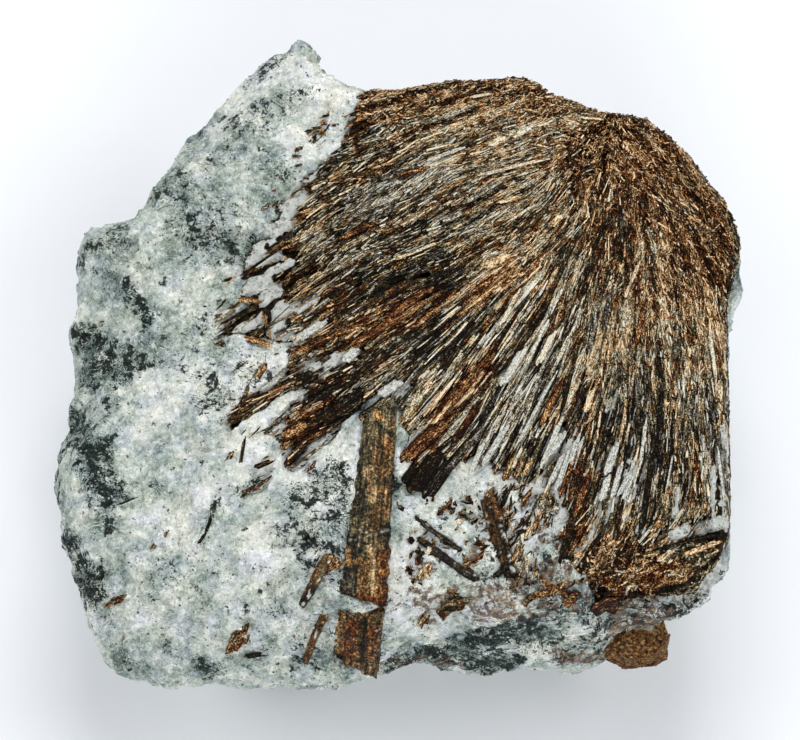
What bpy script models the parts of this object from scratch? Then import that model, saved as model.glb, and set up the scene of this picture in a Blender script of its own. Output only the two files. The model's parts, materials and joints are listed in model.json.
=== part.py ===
"""Astrophyllite specimen: a fan of bronze blades in a broken block of pale host rock.

The block stands on a flat foot at z = 0, with +Z up and the centre of its box over
the origin. Sizes are in millimetres, and MM turns a finished mesh into metres.
"""
import math
import random

import bmesh
import bpy
from mathutils import Vector, noise
from mathutils.bvhtree import BVHTree

MM = 0.001

# Driving dimensions of the block
SURFACE_HEIGHT = 33.0      # the broken top face, before its swells
GAP = 0.3                  # clearance between pieces that touch

# The widest belt of the block, seen from above: x, y and the height of the belt
BELT = [
    (-14.2, 43.3, 31), (-10.0, 40.1, 31), (-7.9, 37.7, 31), (-4.9, 36.3, 31),
    (3.0, 36.4, 31), (11.3, 38.0, 31), (20.2, 37.0, 31), (23.6, 34.6, 31),
    (26.3, 32.0, 31), (33.9, 31.0, 31), (38.7, 27.5, 30), (44.8, 19.7, 29),
    (47.4, 14.0, 28), (46.4, 9.0, 28), (45.7, 1.0, 27), (45.5, -12.0, 26),
    (45.2, -26.0, 26), (44.4, -31.6, 26), (39.7, -36.8, 25), (35.3, -37.8, 20),
    (29.1, -38.2, 14), (22.2, -39.6, 14), (19.5, -40.7, 13), (14.0, -41.7, 12),
    (11.0, -41.7, 12), (8.5, -40.8, 14), (4.0, -41.2, 18), (0.3, -43.2, 19),
    (-6.6, -45.3, 19), (-20.0, -45.9, 18), (-30.0, -45.9, 18), (-37.2, -43.4, 18),
    (-42.0, -38.2, 19), (-45.0, -31.0, 19), (-46.2, -24.0, 20), (-47.7, -15.6, 20),
    (-45.0, -10.3, 21), (-43.8, -1.0, 22), (-43.6, 7.0, 22), (-45.3, 15.5, 22),
    (-43.3, 17.3, 24), (-35.4, 20.4, 27), (-34.0, 24.0, 28), (-26.4, 33.1, 29),
    (-24.4, 36.0, 30), (-16.2, 42.9, 31),
]
RING_POINTS = 140          # points in one ring of the block
TOP_RINGS = 15
EDGE_SHARP = 0.93          # share of the radius at which the right edge turns down
EDGE_SOFT = 0.80           # the same at the worn left edge
EDGE_BOW_SHARP = 2.4       # how square the turn is: 2 is round, 1 is a straight slope
EDGE_BOW_SOFT = 1.6
CRISP_FROM = 4.0           # the edge is crisp right of this x, and softens left of it
SOFTENS_OVER = 30.0
RING_SPREAD = 1.35         # over 1, the rings crowd towards the edge of the top face

# Side of the block below its belt: share of the belt's height, inset, rounding in plan
SIDE_PROFILE = [
    (0.86, 0.2, 1), (0.72, 1.0, 2), (0.56, 2.6, 4), (0.40, 4.8, 6), (0.24, 7.4, 8),
    (0.08, 9.6, 9), (-0.25, 11.5, 9),
]
# Fracture faces that shave the sides: direction round Z, tilt up (degrees), distance
FRACTURES = [
    (176, -12, 43.5), (208, -16, 45.5), (232, -10, 53.0), (150, -12, 39.5), (118, -16, 43.0),
    (84, -8, 37.0), (52, -20, 44.0), (16, -10, 44.0), (346, -22, 43.5), (322, -18, 52.0),
    (300, -30, 45.5), (268, -22, 42.0), (246, -28, 46.5),
]
FRACTURE_CENTRE = (0.0, 0.0, 18.0)
FRACTURE_SHARE = 0.9       # how much of what stands past a fracture face is gone
FRACTURE_START = 12.0      # the faces take hold over this height under the belt

# Swells and hollows of the top face: x, y, spread, height
SWELLS = [
    (25.0, 21.0, 15.0, 4.6),     # dome over the root of the fan
    (-12.0, 34.0, 10.0, 2.0),    # back peak
    (-2.0, 8.0, 22.0, 1.8),      # broad swell of the middle
    (-46.0, 0.0, 14.0, -6.0),    # left side falls away
    (-36.0, -40.0, 16.0, -6.5),  # front left corner falls away
    (-8.0, -46.0, 12.0, -2.4),   # front edge
    (40.0, -36.0, 12.0, -3.0),   # front right corner
    (46.0, 8.0, 12.0, -2.5),     # right shoulder
    (-27.0, 6.0, 7.0, -1.6),     # shallow hollow left of the blades
    (-20.0, -30.0, 8.0, 1.5),    # low hump at the front left
    (12.0, -33.0, 8.0, -1.4),    # hollow below the blade ends
]
LUMP_SIZE = 11.0           # size of the lumps on the broken rock, and their height
LUMP_HEIGHT = 1.8
CHIP_SIZE = 6.0            # size of the chips, and their height
CHIP_HEIGHT = 1.4
CHIP_VARIATION = 3.7       # how unlike neighbouring chips are
SIDE_ROUGHNESS = 1.2       # the sides are rougher than the top face by this factor
FAN_SMOOTHING = 0.85       # how much of the roughness goes where the fan lies
FAN_MARGIN = 0.12          # the smoothing fades out over this share past the blades
MATRIX_FACES = 3280

# The fan: its root, and how far the blades that end on rock run (degrees, length)
ROOT = (27.6, 25.4)
BLADE_REACH = [
    (159.0, 33.0), (163.7, 33.9), (172.0, 34.6), (180.3, 35.6), (186.8, 41.3),
    (194.3, 47.4), (197.8, 51.9), (203.3, 52.4), (205.9, 57.3), (208.7, 55.0),
    (213.1, 51.4), (215.5, 52.4), (217.9, 64.7), (220.3, 54.2), (222.7, 61.2),
    (225.1, 60.6), (227.5, 63.0), (229.9, 46.6), (235.4, 47.0), (241.9, 55.7),
    (246.9, 48.9), (253.5, 48.4), (262.0, 53.0), (265.3, 60.2), (270.0, 64.0),
]
# Sectors of blades: first angle, angle of one blade, count, and if they end on rock
SECTORS = [
    (159.1, 2.4, 46, True),
    (269.5, 3.0, 11, False),
    (302.5, 9.84, 22, False),
]
RIM_INSET = 0.5            # blades that run to the edge stop this far inside it
ROOT_THICKNESS = 13.0
TIP_THICKNESS = 2.2
# Thickness of the fan where it is broken off at the block's edge, by angle
RIM_THICKNESS = [
    (269.0, 7.0), (284.0, 6.5), (300.0, 3.6), (335.0, 4.0), (362.0, 6.5), (400.0, 9.0),
    (450.0, 8.0), (500.0, 6.5), (520.0, 5.0),
]
RIM_UNEVEN = 0.7
THICKER_FROM = 252.0       # from this angle on the blade ends thicken to the rim's
BLADE_FILL = 0.78          # share of its sector that a blade's flat face takes
BLADE_LIFT = 0.7           # a blade stands up to this much over or under the fan
FAN_PROUD = 0.6            # the fan above the rock around it
BREAK_DROP = 0.8           # step down where the upper sheets of a blade broke off
BREAK_RANGE = (0.40, 0.62)
BREAK_WIDTH = 0.02
SLANT_RANGE = (-0.03, 0.03)
INNER_SHARES = [0.06, 0.18, 0.3]   # where the rings of the fan lie, from its root out
OUTER_SHARES = [0.74, 0.88, 1.0]
UNDER_SHARES = [0.98, 0.66, 0.3]
LIFT_FROM = 0.3            # the blades reach their full lift at this share
TIP_FROM = 0.97            # past this share a broken blade end comes down to the rock
TIP_PROUD = 0.1
UNDER_BOW = 0.8            # under 1, the fan thins fast near its root
POCKET_FLOOR = 0.45        # room under the fan
POCKET_OPEN = 6.0          # how far the pocket runs out through the block's side
POCKET_TOP = 12.0

# Single blades: start and end from above, their widths, thickness, height over rock
SINGLE_BLADES = {
    "broad_blade_upper": ((-2.6, -12.8), (-4.9, -39.0), (4.4, 6.4), 2.8, 1.0),
    "broad_blade_lower": ((-5.3, -41.2), (-6.0, -45.0), (6.2, 6.0), 2.8, 0.8),
    "side_blade": ((-9.6, -32.6), (-13.2, -39.0), (2.0, 0.9), 2.4, 0.8),
    "side_finger": ((-10.1, -40.3), (-12.8, -44.6), (1.3, 0.9), 2.0, 0.7),
    "long_lath": ((11.8, -24.6), (14.6, -36.2), (2.4, 1.6), 2.6, 0.9),
    "needle_left": ((-0.2, -26.2), (8.2, -32.4), (0.8, 0.7), 1.8, 0.6),
    "needle_right": ((2.6, -30.6), (10.2, -36.8), (0.9, 1.4), 1.8, 0.7),
}
STEP_SHARE = 0.2           # height of one cleavage step, as a share of the thickness
END_SKEW = -0.2            # how far a blade's end slants, as a share of its width

# Brown cluster low on the front right side
CLUSTER_CENTRE = (31.8, -37.4, 11.5)
CLUSTER_SIZE = (5.2, 3.4, 5.2)
CLUSTER_ROUGHNESS = 0.2
CLUSTER_RIDGES = 2.3       # ridges of the lump, and where in the noise they are read
CLUSTER_SAMPLE = (5.0, 1.0, 2.0)
CLUSTER_SQUARENESS = 0.8   # 1 is round, and less is more like a block

rng = random.Random(11)


def clear_scene():
    for old in list(bpy.data.objects):
        bpy.data.objects.remove(old, do_unlink=True)


def new_collection(name):
    collection = bpy.data.collections.new(name)
    bpy.context.scene.collection.children.link(collection)
    return collection


def new_material(name, colour, roughness):
    made = bpy.data.materials.new(name)
    made.use_nodes = True
    shader = made.node_tree.nodes["Principled BSDF"]
    shader.inputs["Base Color"].default_value = (*colour, 1.0)
    shader.inputs["Roughness"].default_value = roughness
    shader.inputs["Metallic"].default_value = 0.0
    return made


def object_from(bm, name, collection, finish=None):
    """Turn a bmesh in millimetres into an object in metres, with its faces outwards."""
    bmesh.ops.recalc_face_normals(bm, faces=bm.faces)
    bmesh.ops.scale(bm, vec=(MM, MM, MM), verts=bm.verts)
    mesh = bpy.data.meshes.new(name)
    bm.to_mesh(mesh)
    bm.free()
    made = bpy.data.objects.new(name, mesh)
    collection.objects.link(made)
    if finish:
        mesh.materials.append(finish)
    else:
        made.hide_render = True
        made.display_type = "WIRE"
    return made


def bake_modifiers(target):
    """Put what the modifiers make into the object's own mesh."""
    graph = bpy.context.evaluated_depsgraph_get()
    baked = bpy.data.meshes.new_from_object(target.evaluated_get(graph))
    target.modifiers.clear()
    target.data = baked


def combine(target, other, operation):
    """Join or cut the target with another solid, which then leaves the scene."""
    modifier = target.modifiers.new(operation, "BOOLEAN")
    modifier.operation = operation
    modifier.solver = "EXACT"
    modifier.object = other
    bake_modifiers(target)
    bpy.data.objects.remove(other, do_unlink=True)


def keep_main_body(target):
    """Delete the chips that a cut left loose, and keep the largest body."""
    bm = bmesh.new()
    bm.from_mesh(target.data)
    bmesh.ops.dissolve_degenerate(bm, edges=bm.edges, dist=0.005 * MM)
    left = set(bm.verts)
    bodies = []
    while left:
        front = [left.pop()]
        body = set(front)
        while front:
            for edge in front.pop().link_edges:
                for vert in edge.verts:
                    if vert not in body:
                        body.add(vert)
                        left.discard(vert)
                        front.append(vert)
        bodies.append(body)
    bodies.sort(key=len)
    for body in bodies[:-1]:
        bmesh.ops.delete(bm, geom=list(body), context="VERTS")
    bm.to_mesh(target.data)
    bm.free()


def cross(a, b):
    return a[0] * b[1] - a[1] * b[0]


def belt_crossing(origin, direction):
    """Where a level ray first leaves the block: distance from the origin, belt height."""
    found = []
    for start, end in zip(BELT, BELT[1:] + BELT[:1]):
        first = (start[0] - origin[0], start[1] - origin[1])
        span = (end[0] - start[0], end[1] - start[1])
        turn = cross(direction, span)
        if abs(turn) < 1e-9:
            continue
        distance = cross(first, span) / turn
        share = cross(first, direction) / turn
        if distance > 0.0 and 0.0 <= share <= 1.0:
            found.append((distance, start[2] + share * (end[2] - start[2])))
    return min(found)


def edge_softness(x):
    """0 at the crisp right side of the block, 1 at its worn left side."""
    return min(1.0, max(0.0, (CRISP_FROM - x) / SOFTENS_OVER))


def top_height(x, y):
    """Height of the broken top face, which turns down to the belt at its edge."""
    height = SURFACE_HEIGHT
    for swell_x, swell_y, spread, rise in SWELLS:
        away = (x - swell_x) ** 2 + (y - swell_y) ** 2
        height += rise * math.exp(-away / (2.0 * spread ** 2))
    radius = math.hypot(x, y)
    if radius < 1.0:
        return height
    reach, belt_height = belt_crossing((0.0, 0.0), (x / radius, y / radius))
    softness = edge_softness(x)
    turn = EDGE_SHARP + (EDGE_SOFT - EDGE_SHARP) * softness
    power = EDGE_BOW_SHARP + (EDGE_BOW_SOFT - EDGE_BOW_SHARP) * softness
    past = min(1.0, max(0.0, (radius / reach - turn) / (1.0 - turn)))
    bow = (1.0 - past ** power) ** (1.0 / power)
    return belt_height + (height - belt_height) * bow


def read_at(angle, entries):
    """Value at an angle, from a list of angles and values."""
    for (low, near), (high, far) in zip(entries, entries[1:]):
        if low <= angle <= high:
            return near + (far - near) * (angle - low) / (high - low)
    raise ValueError("the list does not reach this angle")


def tip_thickness(angle, ends_on_rock):
    if not ends_on_rock:
        return read_at(angle, RIM_THICKNESS) + rng.uniform(-RIM_UNEVEN, RIM_UNEVEN)
    last = SECTORS[1][0]
    share = max(0.0, (angle - THICKER_FROM) / (last - THICKER_FROM))
    return TIP_THICKNESS + (RIM_THICKNESS[0][1] - TIP_THICKNESS) * share


def blade_cells():
    """One entry for each blade of the fan, in order round the root."""
    cells = []
    for first, width, count, ends_on_rock in SECTORS:
        for index in range(count):
            angle = first + width * (index + 0.5)
            side = 1 if index % 2 else -1
            cells.append({
                "angle": angle,
                "width": width,
                "free": ends_on_rock,
                "tip": tip_thickness(angle, ends_on_rock),
                "lift": side * BLADE_LIFT * rng.uniform(0.3, 1.0),
                "slant": rng.uniform(*SLANT_RANGE),
                "break": rng.uniform(*BREAK_RANGE),
            })
    return cells


def side_reach(cell, side):
    """Length of one side of a blade: to its broken end, or to the block's edge."""
    angle = cell["angle"] + side * 0.5 * BLADE_FILL * cell["width"]
    turn = math.radians(angle)
    rim = belt_crossing(ROOT, (math.cos(turn), math.sin(turn)))[0] - RIM_INSET
    if not cell["free"]:
        return rim
    return min(read_at(cell["angle"], BLADE_REACH) * (1.0 + side * cell["slant"]), rim)


def in_fan(x, y, cells):
    """1 inside the fan, falling to 0 a little past the ends of its blades."""
    away = math.hypot(x - ROOT[0], y - ROOT[1])
    angle = math.degrees(math.atan2(y - ROOT[1], x - ROOT[0])) % 360.0
    for cell in cells:
        offset = (angle - cell["angle"] + 180.0) % 360.0 - 180.0
        if abs(offset) <= 0.5 * cell["width"]:
            past = away / side_reach(cell, 0) - 1.0
            return min(1.0, max(0.0, 1.0 - past / FAN_MARGIN))
    return 1.0


def ring_on_belt():
    """Points spaced evenly along the belt."""
    lengths = []
    for start, end in zip(BELT, BELT[1:] + BELT[:1]):
        lengths.append(math.dist(start[:2], end[:2]))
    step = sum(lengths) / RING_POINTS
    points = []
    walked = 0.0
    for (start, end), length in zip(zip(BELT, BELT[1:] + BELT[:1]), lengths):
        while len(points) * step < walked + length and len(points) < RING_POINTS:
            share = (len(points) * step - walked) / length
            points.append(Vector(start).lerp(Vector(end), share))
        walked += length
    return points


def join_rows(bm, lower, upper):
    count = len(lower)
    for index in range(count):
        after = (index + 1) % count
        bm.faces.new((lower[index], lower[after], upper[after]))
        bm.faces.new((lower[index], upper[after], upper[index]))


def close_row(bm, row, centre):
    for index, vert in enumerate(row):
        bm.faces.new((vert, row[(index + 1) % len(row)], centre))


def break_faces(bm):
    """Flatten what stands past each fracture face of the block."""
    centre = Vector(FRACTURE_CENTRE)
    for direction, tilt, distance in FRACTURES:
        turn, lean = math.radians(direction), math.radians(tilt)
        facing = Vector((
            math.cos(turn) * math.cos(lean), math.sin(turn) * math.cos(lean), math.sin(lean)))
        for vert in bm.verts:
            past = facing.dot(vert.co - centre) - distance
            away = math.hypot(vert.co.x, vert.co.y)
            if past > 0.0:
                belt_height = belt_crossing((0, 0), (vert.co.x / away, vert.co.y / away))[1]
                hold = min(1.0, max(0.0, (belt_height - vert.co.z) / FRACTURE_START))
                vert.co -= facing * past * hold * FRACTURE_SHARE


def roughen(bm, cells):
    """Push the broken faces in and out, less where the fan covers the rock."""
    bm.normal_update()
    moves = []
    for vert in bm.verts:
        place = vert.co
        lump = noise.noise(place / LUMP_SIZE)
        chip_centre = noise.voronoi(place / CHIP_SIZE)[1][0]
        chip = noise.noise(chip_centre * CHIP_VARIATION)
        amount = LUMP_HEIGHT * lump + CHIP_HEIGHT * chip
        if vert.normal.z > 0.5:
            amount *= 1.0 - FAN_SMOOTHING * in_fan(place.x, place.y, cells)
        elif vert.normal.z < 0.1:
            amount *= SIDE_ROUGHNESS
        moves.append(vert.normal * amount)
    for vert, move in zip(bm.verts, moves):
        vert.co += move


def build_matrix(collection, cells, finish):
    """The block: rings from a flat foot up its sides and in over its top face."""
    bm = bmesh.new()
    belt = ring_on_belt()
    rows = []
    for share, inset, rounding in reversed(SIDE_PROFILE):
        row = []
        for index in range(len(belt)):
            near = [belt[(index + step) % len(belt)] for step in range(-rounding, rounding + 1)]
            point = sum(near, Vector()) / len(near)
            shrink = 1.0 - inset / math.hypot(point.x, point.y)
            row.append(bm.verts.new((point.x * shrink, point.y * shrink, point.z * share)))
        rows.append(row)
    rows.append([bm.verts.new(point) for point in belt])
    for ring in range(1, TOP_RINGS):
        share = 1.0 - (ring / TOP_RINGS) ** RING_SPREAD
        row = []
        for point in belt:
            x, y = point.x * share, point.y * share
            row.append(bm.verts.new((x, y, top_height(x, y))))
        rows.append(row)
    for lower, upper in zip(rows, rows[1:]):
        join_rows(bm, lower, upper)
    close_row(bm, rows[-1], bm.verts.new((0.0, 0.0, top_height(0.0, 0.0))))
    close_row(bm, rows[0], bm.verts.new((0.0, 0.0, rows[0][0].co.z)))
    bmesh.ops.recalc_face_normals(bm, faces=bm.faces)
    break_faces(bm)
    roughen(bm, cells)
    whole = len(bm.faces)
    block = object_from(bm, "matrix", collection, finish)
    thin = block.modifiers.new("broken faces", "DECIMATE")
    thin.ratio = MATRIX_FACES / whole
    bake_modifiers(block)
    flatten_foot(block)
    return block


def flatten_foot(block):
    """Cut the block's foot flat at z = 0."""
    bm = bmesh.new()
    bm.from_mesh(block.data)
    geometry = list(bm.verts) + list(bm.edges) + list(bm.faces)
    cut = bmesh.ops.bisect_plane(
        bm, geom=geometry, dist=1e-7, plane_co=(0, 0, 0), plane_no=(0, 0, -1), clear_outer=True)
    rim = [item for item in cut["geom_cut"] if isinstance(item, bmesh.types.BMEdge)]
    for edge in rim:
        for vert in edge.verts:
            vert.co.z = 0.0
    bmesh.ops.holes_fill(bm, edges=rim, sides=0)
    bmesh.ops.recalc_face_normals(bm, faces=bm.faces)
    bm.to_mesh(block.data)
    bm.free()


def fan_place(cell, side, share):
    """Plan place on one side of a blade, at a share of its reach."""
    turn = math.radians(cell["angle"] + side * 0.5 * BLADE_FILL * cell["width"])
    away = side_reach(cell, side) * share
    return ROOT[0] + away * math.cos(turn), ROOT[1] + away * math.sin(turn)


def fan_top(cell, side, share):
    x, y = fan_place(cell, side, share)
    rise = min(1.0, share / LIFT_FROM)
    height = top_height(x, y) + FAN_PROUD + cell["lift"] * rise
    if share > cell["break"] and cell["free"]:
        height -= BREAK_DROP
    if share > TIP_FROM and cell["free"]:
        height = top_height(x, y) + TIP_PROUD
    return x, y, height


def fan_under(cell, side, share):
    x, y = fan_place(cell, side, share)
    thickness = ROOT_THICKNESS + (cell["tip"] - ROOT_THICKNESS) * share ** UNDER_BOW
    return x, y, top_height(x, y) - thickness


def top_shares(cell):
    return INNER_SHARES + [cell["break"], cell["break"] + BREAK_WIDTH] + OUTER_SHARES


def build_fan(collection, cells, finish):
    """The spray of blades grown from one root, as pleats with steps and broken ends."""
    bm = bmesh.new()
    sides = [(cell, side) for cell in cells for side in (-1, 1)]
    rows = []
    for ring in reversed(range(len(UNDER_SHARES))):
        share = UNDER_SHARES[ring]
        rows.append([bm.verts.new(fan_under(cell, side, share)) for cell, side in sides])
    for ring in reversed(range(len(top_shares(cells[0])))):
        row = []
        for cell, side in sides:
            row.append(bm.verts.new(fan_top(cell, side, top_shares(cell)[ring])))
        rows.append(row)
    for lower, upper in zip(rows, rows[1:]):
        join_rows(bm, lower, upper)
    root_height = top_height(*ROOT)
    close_row(bm, rows[-1], bm.verts.new((*ROOT, root_height + FAN_PROUD)))
    close_row(bm, rows[0], bm.verts.new((*ROOT, root_height - ROOT_THICKNESS)))
    return object_from(bm, "blade_fan", collection, finish)


def grow_outline(points, amount):
    """Move a closed plan outline outwards by an amount, corner by corner."""
    grown = []
    for index, point in enumerate(points):
        before = points[index - 1]
        after = points[(index + 1) % len(points)]
        one = Vector((point[1] - before[1], before[0] - point[0])).normalized()
        two = Vector((after[1] - point[1], point[0] - after[0])).normalized()
        middle = (one + two).normalized()
        stretch = amount / max(0.5, middle.dot(one))
        grown.append((point[0] + middle.x * stretch, point[1] + middle.y * stretch))
    return grown


def build_fan_pocket(collection, cells):
    """The room that the fan takes in the block, open at the top and at the rim."""
    bm = bmesh.new()
    sides = [(cell, side) for cell in cells for side in (-1, 1)]
    outline = grow_outline([fan_place(cell, side, 1.0) for cell, side in sides], GAP)
    outer_low = []
    outer_high = []
    for (cell, side), (x, y) in zip(sides, outline):
        floor = fan_under(cell, side, UNDER_SHARES[0])[2] - POCKET_FLOOR
        if not cell["free"]:
            away = Vector((x - ROOT[0], y - ROOT[1]))
            x, y = Vector((x, y)) + away.normalized() * POCKET_OPEN
        outer_low.append(bm.verts.new((x, y, floor)))
        outer_high.append(bm.verts.new((x, y, floor + POCKET_TOP)))
    rows = []
    for share in reversed(UNDER_SHARES):
        row = []
        for cell, side in sides:
            x, y, z = fan_under(cell, side, share)
            row.append(bm.verts.new((x, y, z - POCKET_FLOOR)))
        rows.append(row)
    rows.append(outer_low)
    rows.append(outer_high)
    for lower, upper in zip(rows, rows[1:]):
        join_rows(bm, lower, upper)
    root_height = top_height(*ROOT)
    close_row(bm, rows[-1], bm.verts.new((*ROOT, root_height + POCKET_TOP)))
    close_row(bm, rows[0], bm.verts.new((*ROOT, root_height - ROOT_THICKNESS - POCKET_FLOOR)))
    return object_from(bm, "fan pocket", collection)


def rock_finder(block):
    """A function that gives the height of the block's surface under a plan place."""
    bm = bmesh.new()
    bm.from_mesh(block.data)
    tree = BVHTree.FromBMesh(bm)
    bm.free()

    def height(x, y):
        hit = tree.ray_cast(Vector((x * MM, y * MM, 1.0)), Vector((0, 0, -1)))[0]
        return hit.z / MM
    return height


def blade_section(width, thickness, grow):
    """Stepped section of a split blade, or the plain one of its pocket."""
    half = 0.5 * width + grow
    if grow:
        return [(-half, -grow), (half, -grow), (half, thickness * 3.0), (-half, thickness * 3.0)]
    step = STEP_SHARE * thickness
    return [
        (-half, 0.0), (half, 0.0), (half, thickness - 2.0 * step),
        (0.5 * half, thickness - 2.0 * step), (0.5 * half, thickness - step),
        (-0.3 * half, thickness - step), (-0.3 * half, thickness), (-half, thickness)]


def build_blade(name, rock, collection, finish=None, grow=0.0):
    """A flat blade that lies along the rock, with its lower part sunk into it."""
    start, end, widths, thickness, proud = SINGLE_BLADES[name]
    stations = []
    for sign in (-1.0, 0.0, 1.0):
        share = 0.5 + 0.5 * sign
        x = start[0] + (end[0] - start[0]) * share
        y = start[1] + (end[1] - start[1]) * share
        width = widths[0] + (widths[1] - widths[0]) * share
        stations.append((Vector((x, y, rock(x, y))), width, sign))
    along = (stations[-1][0] - stations[0][0]).normalized()
    across = along.cross(Vector((0, 0, 1))).normalized()
    up = across.cross(along)
    sunk = up * (proud - thickness)
    bm = bmesh.new()
    rows = []
    for centre, width, sign in stations:
        row = []
        for u, w in blade_section(width, thickness, grow):
            slip = (END_SKEW * u + grow) * sign
            row.append(bm.verts.new(centre + sunk + across * u + up * w + along * slip))
        rows.append(row)
    join_rows(bm, rows[0], rows[1])
    join_rows(bm, rows[1], rows[2])
    bm.faces.new(rows[0])
    bm.faces.new(rows[2])
    return object_from(bm, name, collection, finish)


def build_cluster(collection, finish=None, grow=0.0):
    """A lump of small matted blades low on the front right side."""
    bm = bmesh.new()
    bmesh.ops.create_icosphere(bm, subdivisions=3, radius=1.0)
    for vert in bm.verts:
        ridge = noise.noise(vert.co * CLUSTER_RIDGES + Vector(CLUSTER_SAMPLE))
        blocky = Vector([math.copysign(abs(part) ** CLUSTER_SQUARENESS, part) for part in vert.co])
        size = 1.0 + CLUSTER_ROUGHNESS * ridge
        for axis in range(3):
            reach = CLUSTER_SIZE[axis] * size + grow
            vert.co[axis] = CLUSTER_CENTRE[axis] + blocky[axis] * reach
    return object_from(bm, "lower_cluster", collection, finish)


def centre_over_origin(parts):
    """Shift all the pieces together, so that their common box is centred in plan."""
    for axis in (0, 1):
        places = [vert.co[axis] for part in parts.objects for vert in part.data.vertices]
        shift = -0.5 * (min(places) + max(places))
        for part in parts.objects:
            for vert in part.data.vertices:
                vert.co[axis] += shift


def build_specimen():
    clear_scene()
    parts = new_collection("astrophyllite specimen")
    cutters = new_collection("cutters")
    stone = new_material("pale host rock", (0.50, 0.54, 0.51), 0.8)
    bronze = new_material("bronze blades", (0.16, 0.10, 0.055), 0.35)
    dark_bronze = new_material("dark broad blades", (0.11, 0.08, 0.05), 0.3)
    rusty = new_material("rusty matted blades", (0.18, 0.10, 0.065), 0.6)

    cells = blade_cells()
    matrix = build_matrix(parts, cells, stone)
    rock = rock_finder(matrix)
    build_fan(parts, cells, bronze)
    combine(matrix, build_fan_pocket(cutters, cells), "DIFFERENCE")
    for name in SINGLE_BLADES:
        build_blade(name, rock, parts, dark_bronze)
        combine(matrix, build_blade(name, rock, cutters, grow=GAP), "DIFFERENCE")
    build_cluster(parts, rusty)
    combine(matrix, build_cluster(cutters, grow=GAP), "DIFFERENCE")
    keep_main_body(matrix)
    centre_over_origin(parts)


build_specimen()
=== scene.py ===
"""Astrophyllite specimen: broken pale rock under a spray of bronze blades.

Shapes are worked out in millimetres and turned into metres at the end of each piece.
Places given as (right, down) are picture points: they are carried along the camera's
line of sight onto the specimen, so that what is placed by them sits on its surface.
"""
import json
import math
import random

import bmesh
import bpy
import numpy as np
from mathutils import Matrix, Vector, noise
from mathutils.bvhtree import BVHTree


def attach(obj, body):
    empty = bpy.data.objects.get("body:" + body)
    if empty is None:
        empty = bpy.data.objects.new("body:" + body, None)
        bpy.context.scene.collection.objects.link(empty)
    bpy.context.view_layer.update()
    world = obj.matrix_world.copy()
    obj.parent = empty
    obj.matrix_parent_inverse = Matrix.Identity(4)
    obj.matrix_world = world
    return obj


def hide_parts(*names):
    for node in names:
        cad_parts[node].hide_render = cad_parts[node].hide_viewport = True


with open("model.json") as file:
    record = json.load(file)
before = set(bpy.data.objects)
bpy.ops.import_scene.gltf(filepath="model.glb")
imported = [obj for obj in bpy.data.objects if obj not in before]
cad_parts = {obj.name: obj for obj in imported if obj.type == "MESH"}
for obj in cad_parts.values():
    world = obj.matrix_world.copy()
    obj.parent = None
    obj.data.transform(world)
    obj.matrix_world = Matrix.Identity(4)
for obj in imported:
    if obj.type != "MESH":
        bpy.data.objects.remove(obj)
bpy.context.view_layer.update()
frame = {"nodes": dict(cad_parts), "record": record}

# The noise draws from this seed, so that each run gives the same rock
noise.seed_set(11)

MM = 0.001

# Camera: it looks along +Y and down onto the broken face
CAMERA_ELEVATION = 65.0
CAMERA_DISTANCE = 900.0
CAMERA_AIM = (-0.084, 1.063, 19.4)
PICTURE_SIZE = (800, 740)
PIXEL = 0.137              # millimetres in one picture point at the aim
SENSOR = 36.0
CLIP = (0.05, 10.0)        # the nearest and farthest that it sees, in metres

# The spray of blades
ROOT_SPOT = (600, 140)     # where the blades start
FAN_ROOT = (27.5, 26.7)    # the same root in plan, in millimetres
ROOT_MAT = 62.0            # within so many picture points of the root the blades are matted
ROOT_MAT_EDGE = (0.6, 1.3)  # and its edge is ragged between these shares of that
HEADING_REACH = 18.0       # how soft the change from one heading to the next is
SHEAF_BENDS = [(60.0, 7.0), (25.0, 8.0)]  # of its sheaves: size in picture points, degrees
BUNDLE_WIDTH = 8.0         # of a bundle of blades of one shade, in picture points
BUNDLE_STEP = 10.0         # it is evened out along the blades in steps of this
BUNDLE_GAIN = 0.32
# Tones of blades painted pale as glints: painted highlights of blades that catch the light
GLINT_TONES = (0.82, 1.15)  # of blades that catch the light
FLAT_ENOUGH = 0.62         # blades lie only where the surface under them looks up this much
FAN_VOXEL = 0.6
FAN_SINK = 0.35            # the mass under the blades lies this far under the solid's face
FAN_RIDGE = 0.35           # height of the lines on it
ALBITE_RISE = 0.55         # how far the white rock stands up between the blades
RIM_FROM_HEIGHT = 24.0     # the fan's rim has matted blades above this
LATH_THICKNESS = 0.3
DRAPE_SWELL = 0.45         # of the skin on which the blades are laid
DRAPE_VOXEL = 1.1
DRAPE_ROUNDS = 14          # of smoothing

# The host rock, in millimetres
ROCK_VOXEL = 0.6
ROCK_SWELL = 0.35          # closes the seams between the rock and what is grown into it
ROCK_SINK = 1.5            # how far the rock goes down under the blades
COVER_FROM = 0.55          # the skin is over a blade where it is this far from the rock
COVER_FADE = 0.3
FOOT_FLAT = 0.3            # the foot is flat up to this height
FOOT_FADE = 1.5            # and fades into the broken sides over this
RIM_CUT_FROM = 43.6        # where the right rim is drawn in, beside the lower half of the fan
RIM_CUT_BACK = 11.0        # how far back it is drawn in
RIM_CUT = 0.5              # the share of what stands out that goes
BACK_CUT_FROM = 31.0       # where the back rim is drawn in, beside the fan's root
BACK_CUT_SIDES = (17.0, 40.0)
BACK_CUT = 0.35
CUT_FADE = 4.0
CLUSTER_VOXEL = 0.35
CLUSTER_SINK = 0.5         # of the rusty lump's skin under its solid

# The stage, in metres
FLOOR_HALF = 0.9
LAMP_SIZE = 0.5
LAMP_AIM = Vector((0.0, 0.0, 0.02))


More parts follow.
